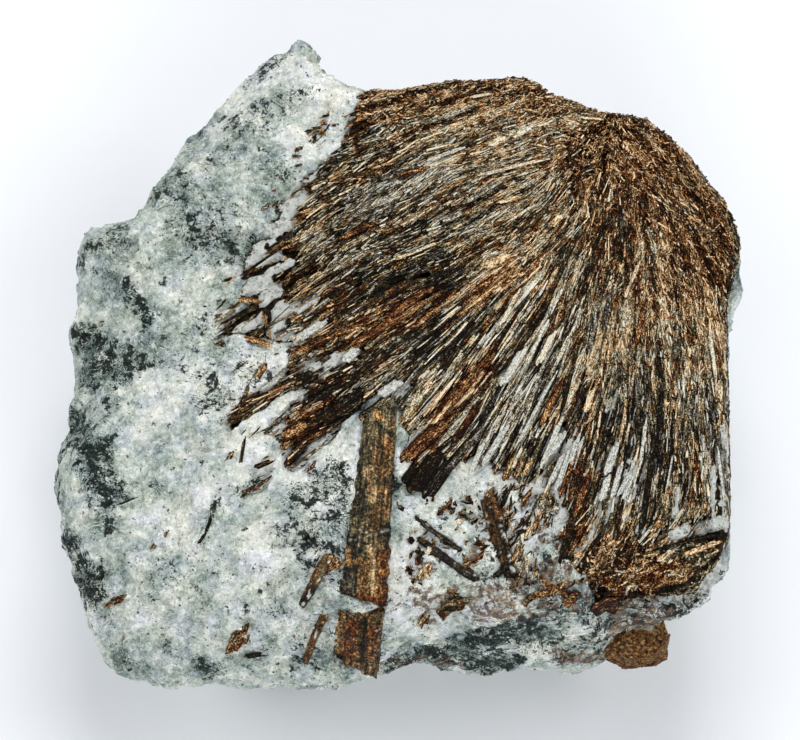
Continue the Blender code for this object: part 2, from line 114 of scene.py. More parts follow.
def camera_axes():
    """Right, up and forward of the picture, and the camera's place."""
    lean = math.radians(CAMERA_ELEVATION)
    forward = Vector((0.0, math.cos(lean), -math.sin(lean)))
    right = Vector((1.0, 0.0, 0.0))
    up = right.cross(forward)
    return right, up, forward, Vector(CAMERA_AIM) - forward * CAMERA_DISTANCE


RIGHT, UP, FORWARD, CAMERA_PLACE = camera_axes()


def sight(spot):
    """Direction of the line of sight through a picture point."""
    across = (spot[0] - 0.5 * PICTURE_SIZE[0]) * PIXEL
    down = (spot[1] - 0.5 * PICTURE_SIZE[1]) * PIXEL
    return (Vector(CAMERA_AIM) + RIGHT * across - UP * down - CAMERA_PLACE).normalized()


def spots_of(found):
    """The picture points at which places in millimetres are seen."""
    away = found - np.array(CAMERA_PLACE)
    depth = away @ np.array(FORWARD)
    size = CAMERA_DISTANCE / (depth * PIXEL)
    right = 0.5 * PICTURE_SIZE[0] + away @ np.array(RIGHT) * size
    down = 0.5 * PICTURE_SIZE[1] - away @ np.array(UP) * size
    return np.stack([right, down], axis=1)


def held(values):
    """Values kept between 0 and 1."""
    return np.clip(values, 0.0, 1.0)


def noise_at(found, *lumps):
    """Noise at each place: the sum of lumps, each with a size in millimetres and a height."""
    return np.array([sum(height * noise.noise(Vector(place) / size) for size, height in lumps)
                     for place in found])


# Meshes

def linked(name, data):
    """A new object in the scene."""
    made = bpy.data.objects.new(name, data)
    bpy.context.scene.collection.objects.link(made)
    return made


def solid(*nodes, swell=0.0):
    """Merged copies of CAD nodes in one bmesh, in millimetres."""
    bm = bmesh.new()
    for node in nodes:
        bm.from_mesh(frame["nodes"][node].data)
    bmesh.ops.remove_doubles(bm, verts=bm.verts, dist=1e-6)
    bmesh.ops.scale(bm, vec=(1.0 / MM, 1.0 / MM, 1.0 / MM), verts=bm.verts)
    bm.normal_update()
    if swell:
        moves = [vert.normal * swell for vert in bm.verts]
        for vert, move in zip(bm.verts, moves):
            vert.co += move
    return bm


def remeshed(bm, voxel):
    """The outer skin of closed shapes that touch or cross, as one mesh."""
    rough = bpy.data.meshes.new("rough")
    bm.to_mesh(rough)
    bm.free()
    carrier = linked("rough", rough)
    skin = carrier.modifiers.new("skin", "REMESH")
    skin.mode = "VOXEL"
    skin.voxel_size = voxel
    made = settled(carrier)
    bpy.data.objects.remove(carrier)
    return made


def settled(carrier):
    """What an object's modifiers make, as a plain mesh."""
    bpy.context.view_layer.update()
    graph = bpy.context.evaluated_depsgraph_get()
    return bpy.data.meshes.new_from_object(carrier.evaluated_get(graph))


def places(mesh):
    found = np.empty(len(mesh.vertices) * 3)
    mesh.vertices.foreach_get("co", found)
    return found.reshape(-1, 3)


def normals(mesh):
    found = np.empty(len(mesh.vertices) * 3)
    mesh.vertex_normals.foreach_get("vector", found)
    return found.reshape(-1, 3)


def put_places(mesh, found):
    mesh.vertices.foreach_set("co", np.ascontiguousarray(found).ravel())
    mesh.update()


def put_values(mesh, name, values):
    """A number at each point of a mesh, for its material or for scattering."""
    layer = mesh.attributes.get(name) or mesh.attributes.new(name, "FLOAT", "POINT")
    layer.data.foreach_set("value", np.asarray(values, dtype=np.float32))


def put_directions(mesh, name, values):
    """A direction at each point of a mesh, along which things are scattered."""
    layer = mesh.attributes.new(name, "FLOAT_VECTOR", "POINT")
    layer.data.foreach_set("vector", np.asarray(values, dtype=np.float32).ravel())


def spread(mesh, values, rounds):
    """Average values at the points of a mesh with those of their neighbours."""
    pairs = np.empty(len(mesh.edges) * 2, dtype=np.int64)
    mesh.edges.foreach_get("vertices", pairs)
    one, two = pairs.reshape(-1, 2).T
    count = len(mesh.vertices)
    near = np.bincount(one, minlength=count) + np.bincount(two, minlength=count)
    for _ in range(rounds):
        total = np.bincount(one, values[two], count) + np.bincount(two, values[one], count)
        values = 0.5 * values + 0.5 * total / np.maximum(near, 1)
    return values


def tree_of(mesh):
    bm = bmesh.new()
    bm.from_mesh(mesh)
    made = BVHTree.FromBMesh(bm)
    bm.free()
    return made


def new_piece(name, mesh, finish, slot, *nodes):
    """A finished piece in metres, which rides on the specimen's only body."""
    mesh.transform(Matrix.Scale(MM, 4))
    mesh.name = name
    mesh.materials.clear()
    mesh.materials.append(finish)
    piece = linked(name, mesh)
    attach(piece, "root")
    if nodes:
        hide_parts(*nodes)
    return piece


# Node trees

class Nodes:
    """Short ways to add and join the nodes of one tree."""

    def __init__(self, tree):
        self.tree = tree

    def add(self, kind, inputs=(), **settings):
        made = self.tree.nodes.new(kind)
        for name, value in settings.items():
            setattr(made, name, value)
        for socket, value in dict(inputs).items():
            self.put(made.inputs[socket], value)
        return made

    def put(self, socket, value):
        if isinstance(value, bpy.types.NodeSocket):
            self.tree.links.new(value, socket)
        elif isinstance(value, bpy.types.Node):
            self.tree.links.new(value.outputs[0], socket)
        else:
            socket.default_value = value

    def math(self, operation, *values, clamp=False):
        made = self.add("ShaderNodeMath", operation=operation, use_clamp=clamp)
        for index, value in enumerate(values):
            self.put(made.inputs[index], value)
        return made.outputs[0]

    def vector(self, operation, *values):
        made = self.add("ShaderNodeVectorMath", operation=operation)
        for index, value in enumerate(values):
            self.put(made.inputs[index], value)
        return made.outputs["Value" if operation in ("DOT_PRODUCT", "LENGTH") else "Vector"]


class Finish(Nodes):
    """A material's nodes, on coordinates in millimetres."""

    def __init__(self, name, **surface):
        self.material = bpy.data.materials.new(name)
        self.material.use_nodes = True
        super().__init__(self.material.node_tree)
        self.shader = self.tree.nodes["Principled BSDF"]
        self.surface(**surface)
        where = self.add("ShaderNodeTexCoord")
        self.place = self.vector("SCALE", where.outputs["Object"])
        self.place.node.inputs["Scale"].default_value = 1.0 / MM

    def surface(self, **sockets):
        """Set or join sockets of the shader, with _ for the spaces in their names."""
        for socket, value in sockets.items():
            self.put(self.shader.inputs[socket.replace("_", " ")], value)

    def moved(self, *shift):
        """The same coordinates moved, so that a pattern lies apart from the others."""
        return self.vector("ADD", self.place, shift)

    def parts(self, made):
        """The three parts of a node's random colour."""
        return self.add("ShaderNodeSeparateColor", {"Color": made.outputs["Color"]}).outputs

    def times(self, one, two):
        return self.math("MULTIPLY", one, two)

    def times_add(self, one, two, three, clamp=False):
        return self.math("MULTIPLY_ADD", one, two, three, clamp=clamp)

    def noise(self, size, detail=3.0, roughness=0.55, place=None, stretch=None):
        """Soft random values with lumps of a size in millimetres."""
        at = place or self.place
        if stretch:
            at = self.vector("MULTIPLY", at, stretch)
        made = self.add("ShaderNodeTexNoise", {
            "Vector": at, "Scale": 1.0 / size, "Detail": detail, "Roughness": roughness})
        return made.outputs["Fac"]

    def noises(self, *settings):
        """Two soft random values that have nothing to do with each other."""
        parts = self.parts(self.noise(*settings).node)
        return parts[1], parts[2]

    def cells(self, size, place=None, feature="F1"):
        return self.add("ShaderNodeTexVoronoi", {
            "Vector": place or self.place, "Scale": 1.0 / size}, feature=feature)

    def ramp(self, value, stops):
        """Colours or greys at stops, blended between them."""
        made = self.add("ShaderNodeValToRGB", {"Fac": value})
        points = made.color_ramp.elements
        while len(points) < len(stops):
            points.new(1.0)
        for point, (at, colour) in zip(points, stops):
            point.position = at
            if isinstance(colour, float):
                colour = (colour, colour, colour)
            point.color = (*colour, 1.0)
        return made.outputs["Color"]

    def between(self, value, low, high):
        """0 at low, 1 at high, clamped."""
        made = self.add("ShaderNodeMapRange", {
            "Value": value, "From Min": low, "From Max": high})
        return made.outputs["Result"]

    def mix(self, share, one, two, blend="MIX"):
        made = self.add("ShaderNodeMix", data_type="RGBA", blend_type=blend)
        for index, value in ((0, share), (6, one), (7, two)):
            if isinstance(value, tuple):
                value = (*value, 1.0)
            self.put(made.inputs[index], value)
        return made.outputs[2]

    def attribute(self, name, output="Fac"):
        return self.add("ShaderNodeAttribute", attribute_name=name).outputs[output]

    def relief(self, height, distance, strength=1.0, under=None):
        made = self.add("ShaderNodeBump", {
            "Height": height, "Distance": distance * MM, "Strength": strength})
        if under:
            self.put(made.inputs["Normal"], under)
        return made.outputs["Normal"]


# Finishes

def fine_speckle(finish, size):
    """Crisp grain at the finest size that shows."""
    return finish.between(finish.noise(size, 4.0, 0.8), 0.36, 0.64)


def streak_lines(finish, size, thin, place=None):
    """Short straight lines, turned another way in each patch of the rock."""
    patch = finish.cells(size, place)
    turned = finish.add("ShaderNodeVectorRotate", {
        "Vector": place or finish.place,
        "Axis": patch.outputs["Color"],
        "Angle": finish.times(finish.parts(patch)[0], 6.28)}, rotation_type="AXIS_ANGLE")
    return finish.noise(1.0, 2.0, 0.5, turned.outputs["Vector"], (1.0 / thin, 1.0 / thin, 0.35))


def painted_glints(finish, size, share):
    """Small cells picked at random and painted pale: painted glints of facets that catch the light.
    """
    cells = finish.cells(size)
    picked = finish.between(finish.parts(cells)[0], 1.0 - share, 1.0 - 0.6 * share)
    return finish.times(picked, finish.between(cells.outputs["Distance"], 0.6, 0.4))


def pale_grains(finish, dark, lumps, shade, fine_shade):
    """The rock's pale ground: zones and lumps from grey-green to white, in sugary grains."""
    value = finish.times_add(finish.noise(5.0, 4.0, 0.6), 0.42, finish.times(lumps, 0.36))
    value = finish.times_add(finish.noise(0.42, 4.0, 0.8), 0.22, value)
    value = finish.times_add(finish.attribute("bright"), 0.10, value)
    value = finish.times_add(dark, -0.04, value)
    base = finish.ramp(value, [
        (0.37, (0.06, 0.10, 0.085)), (0.42, (0.19, 0.255, 0.225)), (0.47, (0.40, 0.475, 0.435)),
        (0.515, (0.60, 0.655, 0.61)), (0.56, (0.79, 0.82, 0.775)), (0.63, (0.97, 0.97, 0.93))])
    hue = finish.ramp(finish.noise(3.4, 3.0, 0.5, finish.moved(31.0, 17.0, 5.0)), [
        (0.36, (0.91, 0.92, 1.0)), (0.5, (0.98, 0.99, 0.97)), (0.64, (1.0, 0.98, 0.91))])
    base = finish.mix(1.0, base, hue, "MULTIPLY")
    value = finish.times_add(shade[0], 0.26, 0.87)
    value = finish.times(value, finish.times_add(fine_shade[1], 0.34, 0.83))
    value = finish.times(value, finish.times_add(fine_speckle(finish, 0.2), 0.30, 0.85))
    base = finish.mix(1.0, base, finish.add("ShaderNodeCombineColor", {
        0: value, 1: value, 2: value}).outputs[0], "MULTIPLY")
    scratches = streak_lines(finish, 2.2, 0.13, finish.moved(11.0, 2.0, 4.0))
    scratches = finish.times(finish.between(scratches, 0.58, 0.63), 0.65)
    return finish.mix(scratches, base, (0.88, 0.90, 0.86))


def dark_blots(finish, base, dark, lines):
    """Blots and veils of dark green needles, and the bands in which they lie flat."""
    blots = finish.times_add(lines, 0.20, finish.times(finish.noise(1.7, 5.0, 0.72), 0.85))
    blots = finish.math("SUBTRACT", blots, finish.times_add(dark, -0.15, 0.66))
    veil = finish.times(finish.between(blots, -0.08, 0.02), finish.between(dark, 0.05, 0.6))
    base = finish.mix(finish.times(veil, 0.42), base, (0.17, 0.225, 0.20))
    murk = finish.ramp(fine_speckle(finish, 0.4), [
        (0.55, (0.004, 0.008, 0.0065)), (0.98, (0.07, 0.10, 0.088))])
    base = finish.mix(finish.times(finish.between(blots, 0.0, 0.025), 0.96), base, murk)
    bands = finish.noise(1.0, 4.0, 0.7, finish.moved(2.0, 6.0, 1.0), (0.16, 1.5, 2.6))
    bands = finish.times_add(finish.attribute("foliated"), 0.16, bands)
    bands = finish.times(finish.between(bands, 0.70, 0.76), 0.9)
    return finish.mix(bands, base, (0.035, 0.055, 0.052))


def loose_needles(finish, base, dark, lines):
    """Single dark needles and specks scattered over the pale rock, and painted glints on it."""
    scattered = finish.noise(4.5, 3.0, 0.6, finish.moved(9.0, 4.0, 7.0))
    edge = finish.times_add(dark, -0.16, 0.86)
    edge = finish.times_add(scattered, -0.26, edge)
    needles = finish.between(finish.math("SUBTRACT", lines, edge), -0.01, 0.03)
    base = finish.mix(needles, base, (0.008, 0.016, 0.013))
    specks = finish.between(finish.noise(0.55, 2.0, 0.5, finish.moved(3.0, 5.0, 9.0)), 0.68, 0.71)
    base = finish.mix(specks, base, (0.03, 0.05, 0.042))
    # A few pale cells are painted glints, standing for grains that catch the light
    return finish.mix(finish.times(painted_glints(finish, 0.36, 0.05), 0.6), base, (0.90, 0.91, 0.88))


def rust_stains(finish, base):
    """Ochre and brown crumbs where the rock is stained."""
    stain = finish.attribute("stain")
    crumbs = finish.math("SUBTRACT", finish.noise(1.1, 6.0, 0.8), finish.times_add(
        stain, -0.20, 0.65))
    stain = finish.times(finish.between(crumbs, 0.0, 0.06), finish.between(stain, 0.0, 0.2))
    rust = finish.ramp(finish.noise(0.8, 4.0, 0.75, finish.moved(5.0, 1.0, 2.0)), [
        (0.38, (0.045, 0.030, 0.024)), (0.5, (0.15, 0.088, 0.058)), (0.62, (0.42, 0.29, 0.17))])
    return finish.mix(finish.times(stain, 0.9), base, rust)


def facets(finish, cells):
    """Height of flat faces, one in each cell, each with its own slope."""
    slope = finish.vector("SUBTRACT", cells.outputs["Color"], (0.5, 0.5, 0.5))
    away = finish.vector("SUBTRACT", finish.place, cells.outputs["Position"])
    return finish.vector("DOT_PRODUCT", slope, away)


def host_rock_finish():
    """White sugary grains, grey-green zones, dark green needles and ochre stains."""
    finish = Finish("pale host rock", Specular_IOR_Level=0.12)
    dark, lumps = finish.attribute("dark"), finish.noise(1.3, 5.0, 0.75)
    grain, fine = finish.cells(0.8), finish.cells(0.34)
    shade, fine_shade = finish.parts(grain), finish.parts(fine)
    base = pale_grains(finish, dark, lumps, shade, fine_shade)
    coarse = streak_lines(finish, 3.2, 0.26)
    thin = streak_lines(finish, 1.7, 0.15, finish.moved(7.0, 3.0, 1.0))
    lines = finish.math("MAXIMUM", coarse, thin)
    base = dark_blots(finish, base, dark, lines)
    base = loose_needles(finish, base, dark, lines)
    base = rust_stains(finish, base)
    gloss = finish.ramp(shade[1], [(0.0, 0.68), (0.8, 0.5), (0.92, 0.2)])
    low = finish.relief(facets(finish, grain), 0.9, 0.9)
    high = finish.times_add(lumps, 0.3, facets(finish, fine))
    finish.surface(Base_Color=base, Roughness=gloss, Normal=finish.relief(high, 0.8, 0.9, low))
    return finish.material


def brown_ramp(finish, tone):
    """From black, of dark blades and of painted shade in deep gaps, through bronze
    to cream cleavage faces, partly painted glints of faces that catch the light.
    """
    return finish.ramp(tone, [
        (0.0, (0.002, 0.0015, 0.001)), (0.27, (0.013, 0.009, 0.005)),
        (0.48, (0.075, 0.053, 0.029)), (0.66, (0.25, 0.185, 0.105)),
        (0.82, (0.60, 0.49, 0.32)), (1.0, (0.93, 0.87, 0.73))])


def tinted(finish, base, tone, tint):
    """Slate and olive where the tint is under 0; over 0, rust where dark and gold where light."""
    turn = finish.between(tint, -1.0, 1.0)
    deep = finish.ramp(turn, [
        (0.0, (0.50, 0.57, 0.76)), (0.25, (0.56, 0.65, 0.56)), (0.5, (0.68, 0.61, 0.54)),
        (0.66, (0.84, 0.58, 0.33)), (0.82, (1.0, 0.45, 0.22)), (0.97, (1.0, 0.33, 0.18))])
    light = finish.ramp(turn, [
        (0.0, (0.56, 0.62, 0.74)), (0.25, (0.61, 0.67, 0.55)), (0.5, (0.68, 0.61, 0.49)),
        (0.75, (0.80, 0.63, 0.35)), (0.97, (0.92, 0.63, 0.27))])
    turned = finish.mix(finish.between(tone, 0.48, 0.76), deep, light)
    doubled = finish.vector("SCALE", turned)
    doubled.node.inputs["Scale"].default_value = 1.6
    share = finish.times_add(finish.between(tone, 1.0, 0.72), 0.65, 0.35)
    return finish.mix(share, base, finish.mix(1.0, base, doubled, "MULTIPLY"))


def blade_colour(finish, tone, tint, streak, speckle, contrast):
    """Colour of a blade from its tone, tint and paleness, streaked and speckled."""
    change = finish.math("ADD", finish.math("SUBTRACT", streak, 0.5), finish.math(
        "SUBTRACT", speckle, 0.5))
    tone = finish.times_add(change, contrast, tone, clamp=True)
    base = tinted(finish, brown_ramp(finish, tone), tone, tint)
    albite = finish.ramp(finish.times(finish.math("ADD", streak, speckle), 0.5), [
        (0.18, (0.05, 0.05, 0.045)), (0.36, (0.38, 0.38, 0.33)), (0.55, (0.72, 0.73, 0.66)),
        (0.85, (0.92, 0.92, 0.86))])
    return finish.mix(finish.attribute("pale"), base, albite)


def lath_finish():
    """Glossy bronze cleavage with fine lines along each blade."""
    finish = Finish("bronze blades", Specular_IOR_Level=0.07)
    along = finish.times(finish.attribute("along"), finish.attribute("length"))
    across = finish.times(finish.attribute("across"), finish.attribute("width"))
    apart = finish.times(finish.attribute("tone"), 91.0)
    grain = finish.add("ShaderNodeCombineXYZ", {0: along, 1: across, 2: apart}).outputs[0]
    streak = finish.between(finish.noise(1.0, 3.0, 0.8, grain, (1.5, 7.0, 1.0)), 0.34, 0.66)
    lighter, redder = finish.noises(1.0, 2.0, 0.6, grain, (0.25, 1.9, 1.0))
    light_patch, red_patch = finish.noises(1.5, 4.0, 0.7)
    tone = finish.math("ADD", light_patch, finish.attribute("tone"))
    tone = finish.math("SUBTRACT", finish.math("ADD", lighter, tone), 0.99)
    tint = finish.times_add(red_patch, 5.0, finish.attribute("tint"))
    tint = finish.math("SUBTRACT", finish.times_add(redder, 2.4, tint), 3.8)
    # The edges of each blade are painted darker: painted shade where one blade meets the next; the
    # same mark makes them rougher
    edge = finish.between(finish.math("ABSOLUTE", finish.attribute("across")), 0.3, 0.5)
    speckle = finish.times_add(edge, -0.5, fine_speckle(finish, 0.22))
    finish.surface(
        Base_Color=blade_colour(finish, tone, tint, streak, speckle, 0.74),
        Roughness=finish.ramp(speckle, [(0.2, 0.55), (0.8, 0.28)]),
        Normal=finish.relief(finish.math("ADD", streak, speckle), 0.05, 0.8))
    return finish.material


def fan_mass_finish():
    """Dark packed blades seen on edge, in lines that run out from the root."""
    finish = Finish("packed blades", Specular_IOR_Level=0.05, Roughness=0.55)
    outward = finish.vector("SUBTRACT", finish.place, (*FAN_ROOT, 20.0))
    right, back, up = finish.add("ShaderNodeSeparateXYZ", {"Vector": outward}).outputs
    turn = finish.times(finish.math("ARCTAN2", back, right), 60.0)
    level = finish.vector("MULTIPLY", outward, (1.0, 1.0, 0.0))
    reach = finish.times(finish.vector("LENGTH", level), 0.2)
    lines = finish.add("ShaderNodeCombineXYZ", {0: turn, 1: reach, 2: up}).outputs[0]
    streak = finish.between(finish.noise(1.0, 4.0, 0.7, lines, (1.0, 1.0, 1.2)), 0.34, 0.66)
    streak = finish.math("ADD", streak, fine_speckle(finish, 0.45))
    # The mass is painted dark both as packed blades and as painted shade in the gaps between the
    # laid blades
    base = brown_ramp(finish, finish.times_add(streak, 0.34, -0.04))
    grain = finish.times(finish.parts(finish.cells(0.5))[0], 0.5)
    white = finish.ramp(finish.times_add(fine_speckle(finish, 0.3), 0.5, grain), [
        (0.06, (0.05, 0.055, 0.05)), (0.22, (0.52, 0.54, 0.48)), (0.42, (0.86, 0.89, 0.83)),
        (0.75, (1.0, 1.0, 0.95))])
    ragged = finish.times(finish.noise(0.7, 4.0, 0.7), 0.6)
    share = finish.between(finish.math("ADD", finish.attribute("albite"), ragged), 0.62, 0.78)
    finish.surface(Base_Color=finish.mix(share, base, white),
                   Normal=finish.relief(streak, 0.3, 0.9))
    return finish.material


def needle_finish():
    """Dark green to black needles in the rock."""
    finish = Finish("dark green needles", Specular_IOR_Level=0.2)
    shade = finish.noise(0.8, 3.0)
    base = finish.ramp(shade, [
        (0.3, (0.008, 0.014, 0.012)), (0.55, (0.028, 0.050, 0.042)), (0.75, (0.10, 0.15, 0.13))])
    finish.surface(Base_Color=base, Roughness=finish.ramp(shade, [(0.3, 0.3), (0.7, 0.5)]))
    return finish.material


def broad_blade_finish():
    """Dark cleavage, finely speckled, streaked along the blade, with pale healed cracks."""
    finish = Finish("dark broad blades", Specular_IOR_Level=0.12)
    along, across = finish.attribute("along"), finish.attribute("across")
    apart = finish.attribute("width")
    grain = finish.add("ShaderNodeCombineXYZ", {0: along, 1: across, 2: apart}).outputs[0]
    streak = finish.between(finish.noise(1.0, 4.0, 0.65, grain, (0.2, 2.6, 1.0)), 0.32, 0.68)
    speckle = fine_speckle(finish, 0.35)
    patch = finish.noise(1.1, 5.0, 0.75)
    tint = finish.math("ADD", finish.attribute("tint"), finish.times_add(patch, 3.0, -1.62))
    mottled = finish.math("ADD", finish.times(streak, 0.6), finish.times_add(patch, 2.0, -0.8))
    finish.surface(
        Base_Color=blade_colour(finish, finish.attribute("tone"), tint, mottled, speckle, 0.54),
        Roughness=finish.ramp(speckle, [(0.2, 0.6), (0.8, 0.35)]),
        Normal=finish.relief(streak, 0.12, 0.8))
    return finish.material


def matted_finish():
    """Rusty brown matted blades with grey and golden crumbs."""
    finish = Finish("rusty matted blades", Specular_IOR_Level=0.15, Roughness=0.6)
    streak = finish.noise(0.5, 5.0, 0.8, None, (1.0, 1.0, 1.6))
    crumbs = finish.parts(finish.cells(0.4))[0]
    tone = finish.times_add(streak, 1.3, finish.times_add(crumbs, 0.34, -0.30))
    tint = finish.times_add(finish.noise(0.7, 4.0), 1.5, -0.3)
    finish.surface(Base_Color=tinted(finish, brown_ramp(finish, tone), tone, tint),
                   Normal=finish.relief(streak, 0.5, 0.9))
    return finish.material


# The host rock

# Flat facets of the broken rock: size, tilt, step from one to the next, and shift of the
# pattern, in millimetres
ROCK_FACETS = [(4.6, 0.75, 0.7, 0.0), (2.1, 0.5, 0.36, 0.0), (1.1, 0.26, 0.2, 5.0)]
# Patches of the rock, each along a line: two picture points, size in millimetres, strength
DARK_PATCHES = [
    (72, 425, 98, 452, 2.6, 1.0), (88, 470, 112, 492, 2.0, 1.0), (68, 548, 92, 590, 2.4, 1.0),
    (82, 335, 108, 350, 2.2, 0.9), (96, 372, 128, 362, 2.6, 0.9), (128, 290, 148, 322, 1.3, 1.0),
    (74, 258, 120, 236, 1.3, 0.8), (130, 245, 112, 260, 1.0, 0.5), (190, 232, 240, 246, 3.0, 0.7),
    (185, 200, 225, 215, 3.2, 0.55), (300, 497, 335, 478, 2.4, 0.8),
    (305, 525, 350, 560, 4.0, 0.75),
    (330, 495, 352, 520, 2.6, 0.8), (250, 75, 275, 62, 1.6, 0.7), (216, 501, 203, 532, 0.7, 0.7),
    (160, 195, 180, 180, 2.2, 0.6), (235, 130, 262, 112, 2.2, 0.6), (270, 112, 300, 95, 1.6, 0.5),
    (170, 575, 200, 600, 1.6, 0.35), (95, 500, 110, 525, 1.4, 0.6), (195, 338, 215, 345, 2.6, 0.5),
    (150, 345, 175, 365, 2.2, 0.5), (225, 410, 246, 405, 1.6, 0.5), (455, 649, 529, 630, 1.9, 1.0),
    (529, 630, 556, 637, 1.4, 0.9), (562, 616, 629, 606, 1.6, 0.6), (579, 648, 620, 614, 1.1, 0.8),
    # The patch from (466, 668) to (512, 664) lies in a hollow at the front: partly dark needles,
    # partly painted shadow
    (640, 618, 700, 603, 1.6, 0.9), (466, 668, 512, 664, 1.7, 1.0), (545, 560, 560, 572, 1.3, 0.9),
    (548, 600, 600, 606, 1.8, 1.0), (196, 660, 212, 671, 1.2, 0.8), (124, 650, 127, 668, 0.7, 0.6),
    (165, 642, 170, 650, 0.5, 0.9), (262, 652, 272, 640, 0.8, 0.6), (240, 492, 262, 481, 0.8, 0.8),
    (385, 610, 380, 640, 1.0, 0.4), (420, 520, 440, 535, 2.0, 0.3), (95, 415, 110, 400, 1.5, 0.5),
    (270, 160, 290, 175, 2.0, 0.45), (265, 575, 300, 590, 2.4, 0.3),
    (250, 600, 285, 612, 1.8, 0.45),
    (100, 268, 112, 280, 1.6, 0.4), (210, 160, 232, 150, 1.8, 0.5), (300, 660, 360, 650, 1.4, 0.5),
    (396, 668, 446, 656, 2.0, 1.0), (216, 380, 262, 366, 2.4, 0.5), (200, 404, 226, 396, 1.8, 0.8),
    (484, 568, 552, 594, 2.2, 0.6), (470, 655, 540, 640, 2.0, 0.4), (560, 655, 600, 650, 1.4, 0.8),
    (380, 452, 396, 490, 1.0, 0.9),
]
BRIGHT_PATCHES = [
    (275, 85, 330, 140, 7.0, 0.45), (230, 470, 290, 560, 8.0, 0.35), (150, 400, 230, 440, 6.0, 0.3),
    (330, 100, 350, 130, 4.0, 0.5), (430, 500, 540, 540, 6.0, 0.45), (270, 400, 330, 480, 6.0, 1.0),
    (150, 620, 280, 600, 5.0, 0.3), (240, 340, 280, 380, 4.0, 0.5), (430, 610, 520, 610, 2.0, 0.6),
    (322, 452, 338, 478, 2.2, 1.0), (384, 396, 402, 386, 1.3, 0.9), (312, 366, 352, 354, 1.7, 0.9),
    (272, 418, 300, 398, 1.6, 0.9), (300, 310, 316, 300, 1.2, 0.8), (405, 458, 420, 435, 1.2, 0.9),
    (470, 462, 490, 490, 2.6, 0.8), (556, 488, 578, 436, 1.4, 0.9), (612, 500, 632, 476, 2.0, 0.9),
    (508, 530, 528, 560, 2.6, 0.7), (400, 560, 412, 620, 2.4, 0.8), (442, 545, 470, 520, 3.0, 0.5),
    (245, 440, 262, 460, 2.6, 0.7), (165, 400, 200, 380, 3.4, 0.6), (215, 520, 270, 500, 3.4, 0.5),
    (240, 560, 290, 540, 3.4, 0.6), (290, 620, 300, 600, 1.6, 0.7), (640, 540, 722, 522, 1.0, 0.7),
    (150, 260, 200, 300, 3.0, 0.3), (235, 330, 250, 345, 1.8, 0.7), (650, 612, 700, 592, 1.2, 0.8),
    (540, 650, 600, 640, 2.0, 0.5), (484, 500, 520, 486, 2.0, 0.8), (285, 530, 320, 545, 2.4, 0.6),
    (690, 600, 726, 574, 1.8, 1.0), (250, 600, 210, 590, 2.0, 0.4), (290, 70, 320, 90, 3.4, 0.7),
    (180, 530, 215, 560, 2.6, 0.4), (410, 580, 450, 600, 1.6, 0.4), (480, 640, 540, 650, 1.0, 0.5),
]
STAIN_PATCHES = [
    (78, 488, 84, 492, 0.6, 0.5), (62, 512, 72, 508, 0.6, 0.6), (198, 485, 206, 488, 0.8, 0.5),
    (106, 618, 110, 622, 0.7, 0.8), (124, 640, 128, 655, 0.7, 0.5), (296, 640, 302, 618, 0.7, 0.6),
    (314, 618, 330, 606, 1.2, 0.5), (414, 590, 430, 606, 1.1, 1.0), (440, 605, 472, 590, 1.5, 1.0),
    (433, 586, 462, 586, 0.4, 1.0), (436, 618, 446, 610, 1.0, 1.0), (497, 619, 516, 614, 0.7, 1.0),
    (556, 657, 640, 661, 0.9, 1.0), (400, 668, 440, 664, 1.0, 0.7), (446, 506, 454, 500, 1.0, 0.5),
    (500, 602, 570, 592, 1.4, 0.7), (471, 624, 510, 617, 0.5, 1.0), (140, 505, 150, 500, 0.9, 0.4),
    (148, 556, 140, 566, 0.7, 0.5), (212, 290, 218, 286, 0.5, 0.5), (125, 255, 128, 248, 0.5, 0.6),
    (520, 610, 600, 596, 1.4, 0.8), (610, 600, 650, 596, 1.8, 0.9), (640, 622, 662, 628, 2.6, 1.0),
    (616, 630, 636, 618, 1.6, 1.0), (390, 660, 460, 664, 1.0, 0.7), (412, 620, 425, 628, 0.7, 0.6),
    (350, 668, 380, 665, 0.6, 0.8), (340, 560, 350, 575, 1.0, 0.4), (478, 560, 492, 548, 1.2, 0.5),
    (490, 490, 516, 580, 1.0, 1.0), (500, 522, 507, 545, 0.8, 0.9), (543, 520, 534, 572, 0.9, 1.0),
    (522, 506, 530, 492, 0.8, 1.0), (556, 538, 584, 524, 1.1, 1.0), (545, 572, 560, 562, 1.1, 1.0),
    (460, 568, 480, 550, 1.2, 1.0), (418, 578, 430, 565, 0.9, 1.0), (560, 590, 620, 586, 2.4, 0.8),
    (480, 600, 560, 576, 2.6, 1.0), (412, 606, 470, 596, 2.2, 0.8), (620, 612, 664, 640, 2.2, 1.0),
]
FOLIATED_PATCHES = [
    (458, 640, 640, 606, 2.2, 1.0), (400, 650, 460, 648, 1.6, 0.6), (470, 668, 560, 646, 2.0, 0.8),
    (440, 632, 500, 628, 1.0, 0.6), (300, 640, 330, 612, 2.0, 0.7), (560, 640, 610, 622, 2.0, 0.9),
    (180, 300, 205, 262, 2.0, 0.3), (655, 612, 700, 600, 1.0, 0.8),
]


def on_line(found, start, end):
    """Distance of each place from a line between two places."""
    start, run = np.array(start), np.array(end) - np.array(start)
    share = np.clip((found - start) @ run / max(run @ run, 1e-9), 0.0, 1.0)
    return np.linalg.norm(found - start - share[:, None] * run, axis=1)


def in_patches(found, facing, patches, ragged):
    """How much each place lies in one of the patches, from 0 to 1, on what the camera sees."""
    spots = spots_of(found)
    seen = held(4.0 * (-(facing @ np.array(FORWARD)) - 0.03))
    total = np.zeros(len(found))
    for right, down, end_right, end_down, size, strength in patches:
        away = on_line(spots, (right, down), (end_right, end_down)) * PIXEL / size + ragged
        total = np.maximum(total, strength * held(2.0 * (1.25 - away)))
    return total * seen


